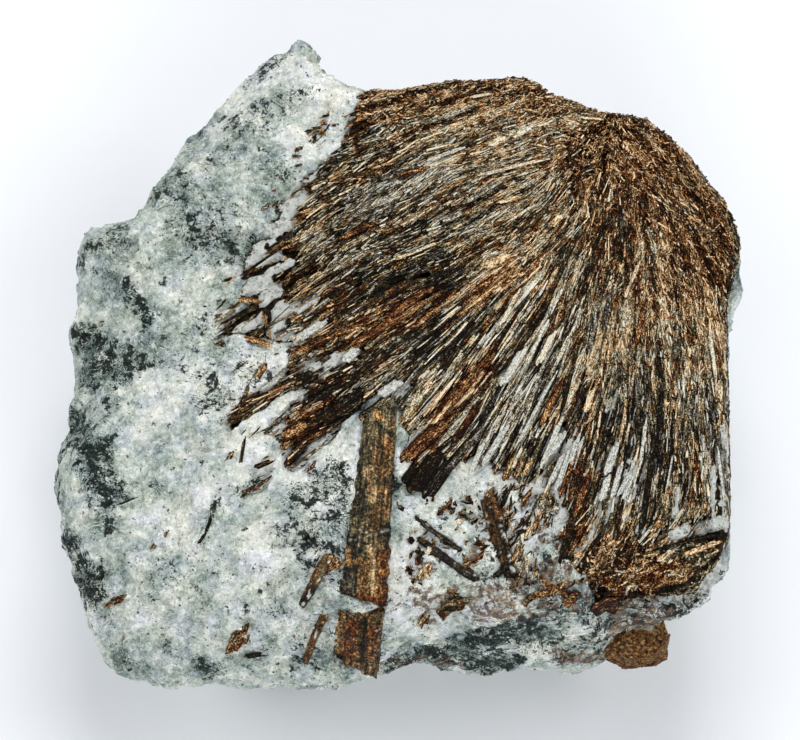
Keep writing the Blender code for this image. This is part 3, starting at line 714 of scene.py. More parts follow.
def chips(place, size, tilt, step):
    """Height of flat-faced chips of a size: each has its own slope and level."""
    scaled = place / size
    centre = noise.voronoi(scaled)[1][0]
    lean = noise.noise_vector(centre * 3.1)
    return step * noise.noise(centre * 5.3) + tilt * lean.dot(scaled - centre)


def rock_relief(place):
    """Height of the broken rock's swells and facets, in millimetres."""
    height = 0.35 * noise.noise(place / 5.5)
    for size, tilt, step, shift in ROCK_FACETS:
        height += chips(place + Vector((shift, shift, shift)), size, tilt, step)
    return height


def caster_onto(mesh):
    """A function that carries a picture point onto a mesh, and gives its place there."""
    surface = tree_of(mesh)

    def carry(spot):
        return surface.ray_cast(CAMERA_PLACE, sight(spot))[0]
    return carry


def rock_skin():
    """One skin over the rock and all that is grown into it."""
    grown_in = [name for name in frame["nodes"] if name != "matrix"]
    return remeshed(solid("matrix", *grown_in, swell=ROCK_SWELL), ROCK_VOXEL)


def covered_share(mesh, found):
    """1 where the skin lies over the fan or a blade, and not over rock."""
    bm = solid("matrix")
    rock = BVHTree.FromBMesh(bm)
    bm.free()
    away = np.array([rock.find_nearest(Vector(place))[3] for place in found])
    return spread(mesh, held((away - COVER_FROM) / COVER_FADE), 2)


def rim_cut(found):
    """How far each place is drawn in at the right rim, beside the lower half of the fan."""
    share = held((RIM_CUT_BACK - found[:, 1]) / CUT_FADE)
    return RIM_CUT * share * np.maximum(found[:, 0] - RIM_CUT_FROM, 0.0)


def back_cut(found):
    """How far each place is drawn in at the back rim, beside the fan's root."""
    left, right = BACK_CUT_SIDES
    share = held((found[:, 0] - left) / CUT_FADE) * held((right - found[:, 0]) / CUT_FADE)
    return BACK_CUT * share * np.maximum(found[:, 1] - BACK_CUT_FROM, 0.0)


def draw_in_rims(found):
    found[:, 0] -= rim_cut(found)
    found[:, 1] -= back_cut(found)


def mark_rock(mesh, found, facing, covered):
    """Where the rock is dark, bright, stained and foliated, and where crystals lie on it."""
    wander = noise_at(found, (9.0, 1.0))
    ragged = noise_at(found, (1.6, 0.7), (0.7, 0.5))
    unseen = np.clip(wander * 2.4 - 0.3, 0.0, 0.8) * (facing @ -np.array(FORWARD) < 0.2)
    dark = np.maximum(in_patches(found, facing, DARK_PATCHES, ragged), unseen)
    dark = np.maximum(dark, 0.25 * held(wander * 1.6))
    bare = held(1.0 - 1.5 * covered) * held(found[:, 2] - 1.0)
    put_values(mesh, "dark", dark)
    put_values(mesh, "bright", in_patches(found, facing, BRIGHT_PATCHES, 0.6 * ragged))
    put_values(mesh, "stain", in_patches(found, facing, STAIN_PATCHES, ragged))
    put_values(mesh, "foliated", in_patches(found, facing, FOLIATED_PATCHES, 0.5 * ragged))
    put_values(mesh, "bare", bare)
    put_values(mesh, "murky", bare * (0.02 + dark ** 2))
    put_directions(mesh, "run", [noise.noise_vector(Vector(place) / 3.0) for place in found])


def make_host_rock(mesh, finish):
    """The broken rock, sunk under the blades, on its flat foot."""
    found, facing = places(mesh), normals(mesh)
    covered = covered_share(mesh, found)
    relief = np.array([rock_relief(Vector(place)) for place in found])
    foot = held((found[:, 2] - FOOT_FLAT) / FOOT_FADE)
    move = relief * (1.0 - 0.6 * covered) - ROCK_SWELL - ROCK_SINK * covered
    found = found + facing * (move * foot)[:, None]
    found[:, 2] = np.maximum(found[:, 2], 0.0)
    found[:, 2] = np.where(foot <= 0.0, 0.0, found[:, 2])
    draw_in_rims(found)
    put_places(mesh, found)
    mark_rock(mesh, found, facing, covered)
    return new_piece("host_rock", mesh, finish, "host_rock", "matrix")


# The fan

# White rock between the blades, in the same way as the patches of the rock
ALBITE_PATCHES = np.array([
    (280, 313, 314, 299, 0.9, 1.0), (302, 366, 340, 358, 0.9, 1.0), (384, 398, 402, 386, 1.2, 1.0),
    (344, 360, 356, 352, 1.1, 1.0), (274, 334, 284, 308, 1.1, 1.0), (284, 338, 300, 326, 0.8, 0.8),
    (264, 388, 280, 370, 0.9, 1.0), (256, 264, 278, 255, 0.6, 1.0), (286, 354, 300, 350, 0.5, 0.9),
    (322, 376, 334, 368, 0.6, 0.9), (400, 384, 414, 372, 0.5, 0.8), (238, 292, 262, 284, 1.3, 1.0),
    (262, 232, 290, 220, 1.2, 1.0), (288, 200, 308, 168, 1.5, 1.0), (244, 258, 256, 250, 1.4, 1.0),
    (246, 240, 262, 228, 2.0, 1.0),
    (270, 272, 290, 262, 0.7, 0.8), (286, 206, 300, 196, 1.2, 1.0), (262, 300, 276, 290, 0.9, 1.0),
    (269, 419, 300, 396, 1.3, 1.0), (402, 462, 423, 430, 0.9, 1.0), (262, 446, 282, 430, 1.2, 1.0),
    (606, 505, 638, 470, 1.7, 1.0), (556, 490, 580, 434, 1.1, 1.0), (600, 505, 616, 446, 0.7, 1.0),
    (296, 342, 326, 322, 0.5, 0.9), (312, 448, 346, 430, 0.8, 1.0), (296, 470, 316, 452, 1.0, 0.9),
    (546, 470, 560, 432, 0.7, 0.9), (675, 515, 684, 460, 0.5, 0.9), (712, 520, 716, 450, 0.4, 0.9),
    (655, 540, 722, 522, 0.9, 1.0), (592, 532, 606, 515, 1.0, 1.0), (618, 530, 622, 505, 0.6, 0.9),
    (640, 530, 650, 520, 0.7, 0.9), (486, 500, 500, 480, 1.1, 1.0), (522, 500, 540, 486, 1.3, 1.0),
    (660, 570, 666, 550, 0.6, 0.8), (548, 540, 562, 515, 1.3, 1.0),
    (655, 632, 700, 596, 0.9, 1.0), (724, 430, 729, 525, 0.9, 1.0),
    (727, 300, 731, 420, 0.4, 0.8), (690, 597, 722, 579, 0.7, 1.0), (362, 205, 392, 172, 0.7, 0.7),
    (402, 203, 440, 170, 0.5, 0.6),
    (255, 262, 262, 250, 0.7, 0.5), (440, 455, 450, 440, 0.6, 0.7), (478, 465, 492, 440, 0.6, 0.8),
    (515, 450, 540, 400, 0.35, 0.6), (500, 388, 524, 350, 0.4, 0.5), (240, 330, 262, 318, 0.8, 0.9),
    (574, 565, 584, 540, 0.5, 0.7), (505, 400, 532, 355, 0.5, 0.8), (520, 470, 548, 440, 1.0, 0.9),
    (560, 500, 566, 440, 0.8, 0.9), (590, 500, 602, 460, 0.8, 0.9), (626, 520, 634, 440, 0.6, 0.8),
    (470, 480, 500, 400, 0.6, 0.6), (700, 470, 706, 420, 0.4, 0.6), (636, 560, 644, 545, 0.6, 0.7),
])


def fan_ridges(found, outward):
    """Height of the lines that run out from the root, as of blades seen on edge."""
    turn = np.arctan2(outward[:, 1], outward[:, 0])
    reach = np.minimum(np.linalg.norm(outward[:, :2], axis=1), 40.0)
    return np.array([
        noise.noise(Vector((angle * away / 0.9, away / 9.0, height / 1.1)))
        for angle, away, height in zip(turn, reach, found[:, 2])])


def make_fan_mass(finish):
    """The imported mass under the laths, lower than the solid so that they fit over it."""
    mesh = remeshed(solid("blade_fan"), FAN_VOXEL)
    found, facing = places(mesh), normals(mesh)
    outward = found - np.array((*FAN_ROOT, 24.0))
    ridges = fan_ridges(found, outward)
    ragged = noise_at(found, (1.1, 0.6), (0.5, 0.4))
    albite = in_patches(found, facing, ALBITE_PATCHES, ragged)
    found = found + facing * (FAN_RIDGE * ridges * (1.0 - 0.7 * albite) - FAN_SINK
                              + ALBITE_RISE * albite)[:, None]
    draw_in_rims(found)
    put_places(mesh, found)
    put_values(mesh, "albite", albite)
    put_values(mesh, "bright", 0.5 * albite)
    rim = held((0.75 - facing[:, 2]) * 4.0) * (found[:, 2] > RIM_FROM_HEIGHT)
    put_values(mesh, "rim", rim)
    put_directions(mesh, "run", outward)
    return new_piece("fan_mass", mesh, finish, "fan_blades", "blade_fan")


# Headings of the blades: picture point, and degrees from straight left round to down
HEADINGS = np.array([
    (400, 100, 14), (445, 118, 16), (514, 169, 14), (446, 155, 21), (418, 185, 37),
    (375, 150, 26), (330, 190, 31), (260, 263, 34), (240, 318, 38), (311, 331, 31),
    (416, 252, 22), (484, 206, 30), (497, 262, 27), (345, 290, 31), (560, 120, 6),
    (560, 230, 46), (575, 190, 55), (600, 200, 88), (299, 380, 26), (338, 388, 33),
    (294, 430, 28), (306, 458, 35), (392, 322, 32), (366, 374, 33), (415, 403, 50),
    (420, 447, 44), (460, 394, 50), (496, 447, 59), (514, 368, 57), (536, 411, 61),
    (545, 350, 62), (560, 275, 64), (570, 380, 76), (581, 465, 74), (612, 460, 74),
    (600, 300, 80), (647, 490, 84), (655, 335, 94), (713, 357, 98), (722, 488, 97),
    (680, 300, 102), (640, 250, 98), (680, 200, 132), (640, 160, 140), (715, 260, 118),
    (650, 420, 88), (690, 450, 93), (660, 575, 22), (700, 560, 22), (610, 560, 62),
])


def blade_run(spot):
    """Direction in the picture in which the blades run outwards at a picture point."""
    away = HEADINGS[:, :2] - np.array(spot)
    weights = 1.0 / ((away * away).sum(axis=1) + HEADING_REACH ** 2) ** 1.5
    turns = np.radians(HEADINGS[:, 2])
    across, down = -(weights * np.cos(turns)).sum(), (weights * np.sin(turns)).sum()
    size = math.hypot(across, down) or 1.0
    return across / size, down / size


# Where the spray is lighter or darker: two picture points, size in millimetres, and the
# changes of tone and tint
SHADES = np.array([
    (362, 208, 440, 166, 1.6, 0.26, -0.8), (483, 266, 510, 257, 0.6, 0.24, 0.3),
    (420, 345, 520, 270, 1.6, -0.02, 0.5), (330, 345, 400, 312, 2.0, 0.02, 0.8),
    (410, 345, 460, 330, 1.8, -0.06, -0.6), (490, 310, 515, 285, 2.4, 0.08, 0.1),
    (605, 385, 622, 320, 2.6, 0.12, 0.1), (590, 350, 600, 335, 2.2, 0.10, 0.2),
    (480, 425, 540, 410, 2.0, -0.06, 0.0), (360, 105, 440, 92, 2.6, 0.10, 0.3),
    (560, 130, 690, 140, 4.0, 0.08, 0.1), (430, 185, 560, 160, 2.4, 0.08, 0.1),
    (330, 260, 390, 212, 3.0, -0.10, -0.2), (430, 470, 400, 500, 3.0, -0.10, 0.0),
    (420, 375, 460, 335, 3.0, -0.16, -0.2), (310, 445, 390, 405, 2.6, -0.26, -0.1),
    (600, 300, 670, 278, 3.0, -0.12, -0.2), (398, 302, 430, 290, 1.8, -0.10, 0.4),
    (440, 400, 484, 372, 1.2, 0.0, 1.2), (368, 380, 396, 364, 1.5, 0.20, 0.1),
    (640, 300, 660, 245, 2.4, 0.14, 0.0), (440, 240, 470, 210, 2.0, -0.12, 0.0),
    (480, 432, 512, 408, 1.6, 0.10, -0.2), (590, 200, 640, 170, 2.6, -0.02, 0.2),
    (490, 500, 560, 490, 3.0, 0.12, -0.3), (650, 500, 670, 530, 3.0, 0.10, -0.3),
    (660, 290, 720, 380, 4.0, 0.05, 0.1), (680, 570, 700, 580, 3.0, 0.02, 0.2),
    (686, 590, 722, 568, 1.6, 0.14, 0.2), (640, 570, 670, 585, 2.4, 0.08, 0.4),
    (350, 285, 450, 265, 2.0, -0.22, -0.2), (470, 300, 540, 260, 1.6, 0.08, 0.3),
    (300, 400, 352, 372, 2.4, -0.26, 0.0), (284, 440, 312, 418, 2.0, 0.06, 1.0),
    (408, 488, 440, 445, 2.6, -0.26, 0.3), (404, 466, 436, 440, 1.0, -0.05, 0.9),
    (436, 425, 486, 362, 1.2, 0.04, 1.0), (410, 410, 432, 380, 1.6, 0.22, 0.2),
    (440, 150, 560, 120, 3.0, 0.13, 0.1), (590, 130, 620, 240, 3.4, -0.04, 0.1),
    (640, 150, 720, 260, 4.5, 0.02, 0.3), (620, 245, 640, 290, 1.4, -0.16, 0.1),
    (520, 330, 540, 290, 1.6, -0.14, 0.1), (650, 290, 725, 330, 4.0, 0.05, 0.3),
    (480, 440, 530, 380, 3.0, 0.02, -0.5), (560, 360, 620, 330, 4.0, 0.0, -0.1),
    (570, 470, 592, 420, 1.2, -0.06, 0.5), (600, 560, 640, 540, 3.6, -0.08, 0.3),
    (630, 400, 660, 450, 3.0, -0.14, -0.5), (690, 550, 728, 530, 2.6, 0.02, -0.2),
    (700, 400, 722, 500, 2.0, 0.04, -0.4), (600, 590, 660, 580, 2.0, -0.04, 0.5),
    (370, 120, 420, 100, 2.4, -0.06, 0.4), (330, 190, 345, 150, 2.6, -0.06, 0.3),
    (280, 380, 300, 240, 2.6, 0.14, 0.0), (470, 100, 560, 95, 2.4, 0.0, 0.4),
])


def away_from_lines(spots, table):
    """How far picture points lie from each line of a table, whose rows start with two points."""
    start, run = table[:, 0:2], table[:, 2:4] - table[:, 0:2]
    away = spots[:, None, :] - start
    share = held((away * run).sum(axis=2) / np.maximum((run * run).sum(axis=1), 1e-9))
    return np.linalg.norm(away - share[:, :, None] * run, axis=2)


def local_shade(spot):
    """Changes of tone and tint at a picture point."""
    near = away_from_lines(np.array([spot]), SHADES)[0] * PIXEL / SHADES[:, 4]
    weights = held(1.6 - near)
    return (weights * SHADES[:, 5]).sum(), (weights * SHADES[:, 6]).sum()


# Zones of the spray: middle, half sizes and turn in the picture, blades tried in the zone,
# length and width in millimetres, lift, jitter in degrees, tone, tint, and the shares of
# bright blades, which are painted glints, and of white blades. Free ones lie in the rock
# beside the fan, and only matted ones lie close to the root
ZONES = {
    "all over": dict(
        middle=(540, 330), half=(245, 275), turn=0, count=6900, length=(1.2, 6.5),
        width=(0.14, 0.45), lift=(-0.35, 0.05), jitter=3, tone=(0.06, 0.86), tint=(-0.5, 0.8),
        bright=0.05, white=0.01, free=False, matted=False),
    "top mat": dict(
        middle=(485, 105), half=(130, 34), turn=0, count=4600, length=(0.4, 2.0),
        width=(0.14, 0.36), lift=(-0.3, 0.2), jitter=28, tone=(0.10, 0.84), tint=(-0.3, 1.0),
        bright=0.035, white=0.01, free=False, matted=True),
    "root mat": dict(
        middle=(600, 150), half=(66, 58), turn=0, count=2600, length=(0.4, 1.8),
        width=(0.13, 0.34), lift=(-0.3, 0.2), jitter=38, tone=(0.06, 0.80), tint=(0.0, 1.2),
        bright=0.02, white=0.01, free=False, matted=True),
    "upper left sweep": dict(
        middle=(430, 190), half=(145, 80), turn=-15, count=7400, length=(0.5, 3.8),
        width=(0.12, 0.34), lift=(-0.3, 0.2), jitter=9, tone=(0.08, 0.94), tint=(-0.9, 0.7),
        bright=0.08, white=0.03, free=False, matted=False),
    "middle": dict(
        middle=(545, 240), half=(95, 85), turn=0, count=5600, length=(0.6, 4.5),
        width=(0.12, 0.30), lift=(-0.3, 0.2), jitter=8, tone=(0.10, 0.94), tint=(-0.3, 0.9),
        bright=0.07, white=0.01, free=False, matted=False),
    "right mat": dict(
        middle=(675, 215), half=(80, 105), turn=20, count=8000, length=(0.4, 2.0),
        width=(0.13, 0.34), lift=(-0.3, 0.2), jitter=30, tone=(0.06, 0.80), tint=(0.1, 1.2),
        bright=0.02, white=0.0, free=False, matted=True),
    "right flank": dict(
        middle=(655, 335), half=(90, 60), turn=0, count=5600, length=(0.5, 3.4),
        width=(0.12, 0.32), lift=(-0.3, 0.2), jitter=12, tone=(0.10, 0.94), tint=(-0.3, 0.8),
        bright=0.07, white=0.01, free=False, matted=False),
    "lower middle": dict(
        middle=(480, 390), half=(115, 90), turn=-55, count=3000, length=(2.0, 12.0),
        width=(0.16, 0.8), lift=(-0.3, 0.3), jitter=3, tone=(0.04, 0.92), tint=(-1.0, 0.7),
        bright=0.10, white=0.04, free=False, matted=False),
    "lower right": dict(
        middle=(650, 465), half=(90, 85), turn=0, count=5000, length=(0.8, 6.5),
        width=(0.14, 0.5), lift=(-0.3, 0.2), jitter=6, tone=(0.02, 0.82), tint=(-0.9, 0.8),
        bright=0.07, white=0.04, free=False, matted=False),
    "left fingers": dict(
        middle=(325, 370), half=(105, 75), turn=-38, count=4200, length=(0.6, 4.5),
        width=(0.15, 0.5), lift=(-0.3, 0.2), jitter=9, tone=(0.0, 0.72), tint=(-0.6, 1.0),
        bright=0.05, white=0.03, free=False, matted=False),
    "front right mat": dict(
        middle=(640, 575), half=(95, 36), turn=-6, count=4000, length=(0.4, 2.2),
        width=(0.15, 0.5), lift=(-0.3, 0.2), jitter=34, tone=(0.04, 0.78), tint=(-0.2, 1.0),
        bright=0.03, white=0.02, free=False, matted=True),
    "broken lower edge": dict(
        middle=(555, 530), half=(70, 45), turn=25, count=800, length=(0.8, 4.5),
        width=(0.25, 0.9), lift=(-0.6, -0.15), jitter=16, tone=(0.05, 0.70), tint=(-0.3, 0.8),
        bright=0.03, white=0.03, free=True, matted=True),
    "ragged left edge": dict(
        middle=(325, 200), half=(55, 105), turn=25, count=380, length=(0.6, 2.4),
        width=(0.3, 0.9), lift=(-0.6, -0.2), jitter=18, tone=(0.08, 0.70), tint=(-0.2, 0.9),
        bright=0.03, white=0.06, free=True, matted=True),
    "finger tips": dict(
        middle=(275, 370), half=(55, 110), turn=-15, count=240, length=(0.8, 3.4),
        width=(0.2, 0.8), lift=(-0.6, -0.25), jitter=14, tone=(0.03, 0.60), tint=(-0.2, 0.8),
        bright=0.03, white=0.06, free=True, matted=True),
    "rock beside the blades": dict(
        middle=(450, 545), half=(110, 60), turn=0, count=480, length=(0.4, 1.9),
        width=(0.3, 1.1), lift=(-0.62, -0.35), jitter=60, tone=(0.05, 0.62), tint=(-0.1, 0.7),
        bright=0.03, white=0.05, free=True, matted=True),
    "plates": dict(
        middle=(500, 380), half=(220, 200), turn=0, count=1900, length=(1.2, 6.0),
        width=(0.35, 1.4), lift=(-0.35, 0.2), jitter=3, tone=(0.06, 0.80), tint=(-1.0, 0.8),
        bright=0.0, white=0.01, free=False, matted=False),
}


def spot_in_zone(zone, rng):
    """A random picture point of an oval zone."""
    away = math.sqrt(rng.random())
    angle = rng.uniform(0.0, 2.0 * math.pi)
    across = zone["half"][0] * away * math.cos(angle)
    down = zone["half"][1] * away * math.sin(angle)
    turn = math.radians(zone["turn"])
    return (zone["middle"][0] + across * math.cos(turn) - down * math.sin(turn),
            zone["middle"][1] + across * math.sin(turn) + down * math.cos(turn))


def fan_finder(surface):
    """A function that says if a plan place lies over the fan, where blades can lie flat."""
    bm = solid("blade_fan")
    fan = BVHTree.FromBMesh(bm)
    bm.free()
    bed = tree_of(surface.data)

    def over(place, free=False):
        high = Vector((place.x, place.y, 100.0))
        down = Vector((0, 0, -1))
        lying = bed.ray_cast(high, down)
        return ((free or fan.ray_cast(high, down)[0] is not None) and lying[0] is not None
                and lying[1].z > FLAT_ENOUGH)
    return over


def bundle_shade(spot, step):
    """A slow change from one bundle of blades to the next, from about -0.7 to 0.7."""
    run = blade_run(spot)
    total = 0.0
    for place in (-3, -2, -1, 0, 1, 2, 3):
        total += noise.noise(Vector((spot[0] + run[0] * BUNDLE_STEP * place,
                                     spot[1] + run[1] * BUNDLE_STEP * place,
                                     step * 57.0)) / BUNDLE_WIDTH)
    return BUNDLE_GAIN * total


def sheaf_turn(spot):
    """Degrees by which the sheaf of blades at a picture point runs off the straight line."""
    here = Vector((spot[0], spot[1], 0.0))
    return sum(turn * noise.noise(here / size) for size, turn in SHEAF_BENDS)


def within(limits, share):
    return limits[0] + (limits[1] - limits[0]) * min(1.0, max(0.0, share))


def on_albite(spots, rng):
    """Says if a blade through these picture points would hide a white patch."""
    size, strength = ALBITE_PATCHES[:, 4], ALBITE_PATCHES[:, 5]
    nearest = away_from_lines(spots, ALBITE_PATCHES).min(axis=0) * PIXEL
    hidden = strength[nearest < 0.85 * size]
    return len(hidden) > 0 and rng.random() < 0.92 * hidden.max()


def course_of(spot, middle, zone, carry, rng):
    """The direction in plan in which a blade runs, or nothing at the edge of the rock."""
    run = blade_run(spot)
    ahead = carry((spot[0] + 6.0 * run[0], spot[1] + 6.0 * run[1]))
    if ahead is None:
        return None
    heading = math.atan2(ahead.y - middle.y, ahead.x - middle.x)
    return heading + math.radians(rng.gauss(0.0, zone["jitter"]) + sheaf_turn(spot))


def fitted(middle, along, length, free, over):
    """A blade's length and ends, shortened until both lie on the fan, or nothing."""
    for _ in range(7):
        near, far = middle - along * 0.5 * length, middle + along * 0.5 * length
        if over(near, free) and over(far, free):
            return length, near, far
        length *= 0.72
    return None


def seed_of_lath(zone, carry, over, rng):
    """One blade of a zone, or nothing where it would leave the fan."""
    spot = spot_in_zone(zone, rng)
    middle = carry(spot)
    if middle is None or not over(middle, zone["free"]):
        return None
    if not zone["matted"] and math.dist(spot, ROOT_SPOT) < ROOT_MAT * rng.uniform(*ROOT_MAT_EDGE):
        return None
    heading = course_of(spot, middle, zone, carry, rng)
    if heading is None:
        return None
    along = Vector((math.cos(heading), math.sin(heading), 0.0))
    length = within(zone["length"], rng.random() ** 1.5)
    fit = fitted(middle, along, length, zone["free"], over)
    if fit is None:
        return None
    length, near, far = fit
    if on_albite(spots_of(np.array([near, middle, far])), rng):
        return None
    height_and_painted_shade = bundle_shade(spot, 3)
    middle.x -= rim_cut(np.array([middle]))[0]
    middle.y -= back_cut(np.array([middle]))[0]
    lighter, redder = local_shade(spot)
    # Bundles that stand higher are painted lighter and lower ones darker: painted shade in the
    # hollows between them
    share = 0.42 + 0.85 * bundle_shade(spot, 1) + 0.3 * height_and_painted_shade + rng.gauss(0.0, 0.22)
    tone = max(0.0, within(zone["tone"], share) + lighter)
    # Some blades are painted pale and made short: painted glints of blades that catch the light
    if rng.random() < 2.3 * zone["bright"]:
        tone = rng.uniform(*GLINT_TONES)
        length *= 0.6
    lift = rng.uniform(*zone["lift"]) + 0.3 * height_and_painted_shade
    width = within(zone["width"], rng.random() ** 2.2)
    share = 0.5 + 1.2 * bundle_shade(spot, 2) + rng.gauss(0.0, 0.35)
    pale = rng.uniform(0.5, 1.0) if rng.random() < zone["white"] else 0.0
    return dict(x=middle.x, y=middle.y, z=lift, heading=heading, length=length, width=width,
                tone=tone, tint=within(zone["tint"], share) + redder, pale=pale)


def mesh_of_seeds(seeds):
    mesh = bpy.data.meshes.new("seeds")
    mesh.from_pydata([(seed["x"], seed["y"], seed["z"]) for seed in seeds], [], [])
    for name in ("heading", "length", "width", "tone", "tint", "pale"):
        put_values(mesh, name, [seed[name] for seed in seeds])
    return mesh


def form_object(name, bm):
    """A form to strew or lay, which keeps how far along and across it each point is."""
    bmesh.ops.recalc_face_normals(bm, faces=bm.faces)
    mesh = bpy.data.meshes.new(name)
    bm.to_mesh(mesh)
    bm.free()
    put_values(mesh, "along", [vert.co.x for vert in mesh.vertices])
    put_values(mesh, "across", [vert.co.y for vert in mesh.vertices])
    return linked(name, mesh)


def blade_form(name, stations):
    """A flat-topped blade one unit long and wide, with its keel below."""
    bm = bmesh.new()
    rows = []
    for along, left, right in stations:
        corners = ((left, 0.0), (right, 0.0), (0.5 * (left + right), left - right))
        rows.append([bm.verts.new((along, across, down)) for across, down in corners])
    for near, far in zip(rows, rows[1:]):
        for index in range(3):
            after = (index + 1) % 3
            bm.faces.new((near[index], near[after], far[after], far[index]))
    bm.faces.new(rows[0])
    bm.faces.new(rows[-1])
    return form_object(name, bm)


def grain_form(name, corners):
    """A chunky grain with flat faces."""
    rng = random.Random(9)
    bm = bmesh.new()
    for _ in range(corners):
        away = Vector([rng.gauss(0.0, 1.0) for _ in range(3)]).normalized()
        bm.verts.new(away * 0.5)
    made = bmesh.ops.convex_hull(bm, input=bm.verts)
    inner = [part for part in made["geom_interior"] if isinstance(part, bmesh.types.BMVert)]
    bmesh.ops.delete(bm, geom=inner, context="VERTS")
    return form_object(name, bm)


def add_input(tree, name, kind, value=None):
    socket = tree.interface.new_socket(name, in_out="INPUT", socket_type="NodeSocket" + kind)
    if value is not None:
        socket.default_value = value
    return socket.identifier


def start_tree(name, inputs):
    """A geometry tree with its inputs, and the identifier of each."""
    tree = bpy.data.node_groups.new(name, "GeometryNodeTree")
    keys = {"Geometry": add_input(tree, "Geometry", "Geometry")}
    for label, kind, value in inputs:
        keys[label] = add_input(tree, label, kind, value)
    tree.interface.new_socket("Geometry", in_out="OUTPUT", socket_type="NodeSocketGeometry")
    nodes = Nodes(tree)
    return tree, nodes, keys, nodes.add("NodeGroupInput").outputs


def stored(nodes, name, kind="FLOAT"):
    """A value kept on the points under a name."""
    return nodes.add("GeometryNodeInputNamedAttribute", {"Name": name}, data_type=kind).outputs[0]


def random_between(nodes, given, low, high, step):
    """A random number for each point, from the tree's seed and a step of its own."""
    return nodes.add("FunctionNodeRandomValue", {
        2: low, 3: high, 8: nodes.math("ADD", given["Seed"], float(step))}).outputs[1]


def swing(nodes, given, label, step):
    """A random number for each point, as far under 0 as over it."""
    low = nodes.math("MULTIPLY", given[label], -1.0)
    return random_between(nodes, given, low, given[label], step)


def lath_tree():
    """Blades laid on seeds, turned to their headings and bent over a surface."""
    tree, nodes, keys, given = start_tree("lay laths", [
        ("Form", "Object", None), ("Surface", "Object", None), ("Thickness", "Float", 0.3),
        ("Roll", "Float", 0.3), ("Pitch", "Float", 0.02), ("Seed", "Int", 1),
        ("Finish", "Material", None)])

    form = nodes.add("GeometryNodeObjectInfo", {"Object": given["Form"]})
    turn = nodes.add("FunctionNodeEulerToRotation", {0: nodes.add("ShaderNodeCombineXYZ", {
        0: swing(nodes, given, "Roll", 1), 1: swing(nodes, given, "Pitch", 2),
        2: stored(nodes, "heading")})})
    scale = nodes.add("ShaderNodeCombineXYZ", {
        0: stored(nodes, "length"), 1: stored(nodes, "width"), 2: given["Thickness"]})
    laid = nodes.add("GeometryNodeInstanceOnPoints", {
        "Points": given["Geometry"], "Instance": form.outputs["Geometry"], "Rotation": turn,
        "Scale": scale})
    real = nodes.add("GeometryNodeRealizeInstances", {"Geometry": laid})
    surface = nodes.add("GeometryNodeObjectInfo", {"Object": given["Surface"]})
    place = nodes.add("GeometryNodeInputPosition")
    parts = nodes.add("ShaderNodeSeparateXYZ", {"Vector": place})
    above = nodes.add("ShaderNodeCombineXYZ", {
        0: parts.outputs[0], 1: parts.outputs[1], 2: 100.0})
    hit = nodes.add("GeometryNodeRaycast", {
        "Target Geometry": surface.outputs["Geometry"], "Source Position": above,
        "Ray Direction": (0.0, 0.0, -1.0), "Ray Length": 200.0})
    under = nodes.add("ShaderNodeSeparateXYZ", {"Vector": hit.outputs["Hit Position"]})
    rise = nodes.add("ShaderNodeCombineXYZ", {2: under.outputs[2]})
    bent = nodes.add("GeometryNodeSetPosition", {"Geometry": real, "Offset": rise})
    done = nodes.add("GeometryNodeSetMaterial", {"Geometry": bent, "Material": given["Finish"]})
    nodes.add("NodeGroupOutput", {0: done})
    return tree, keys


def grown(mesh, tree, keys, **values):
    """The plain mesh that a geometry tree makes on a mesh."""
    carrier = linked("carrier", mesh)
    modifier = carrier.modifiers.new("grow", "NODES")
    modifier.node_group = tree
    for label, value in values.items():
        modifier[keys[label]] = value
    made = settled(carrier)
    bpy.data.objects.remove(carrier)
    return made


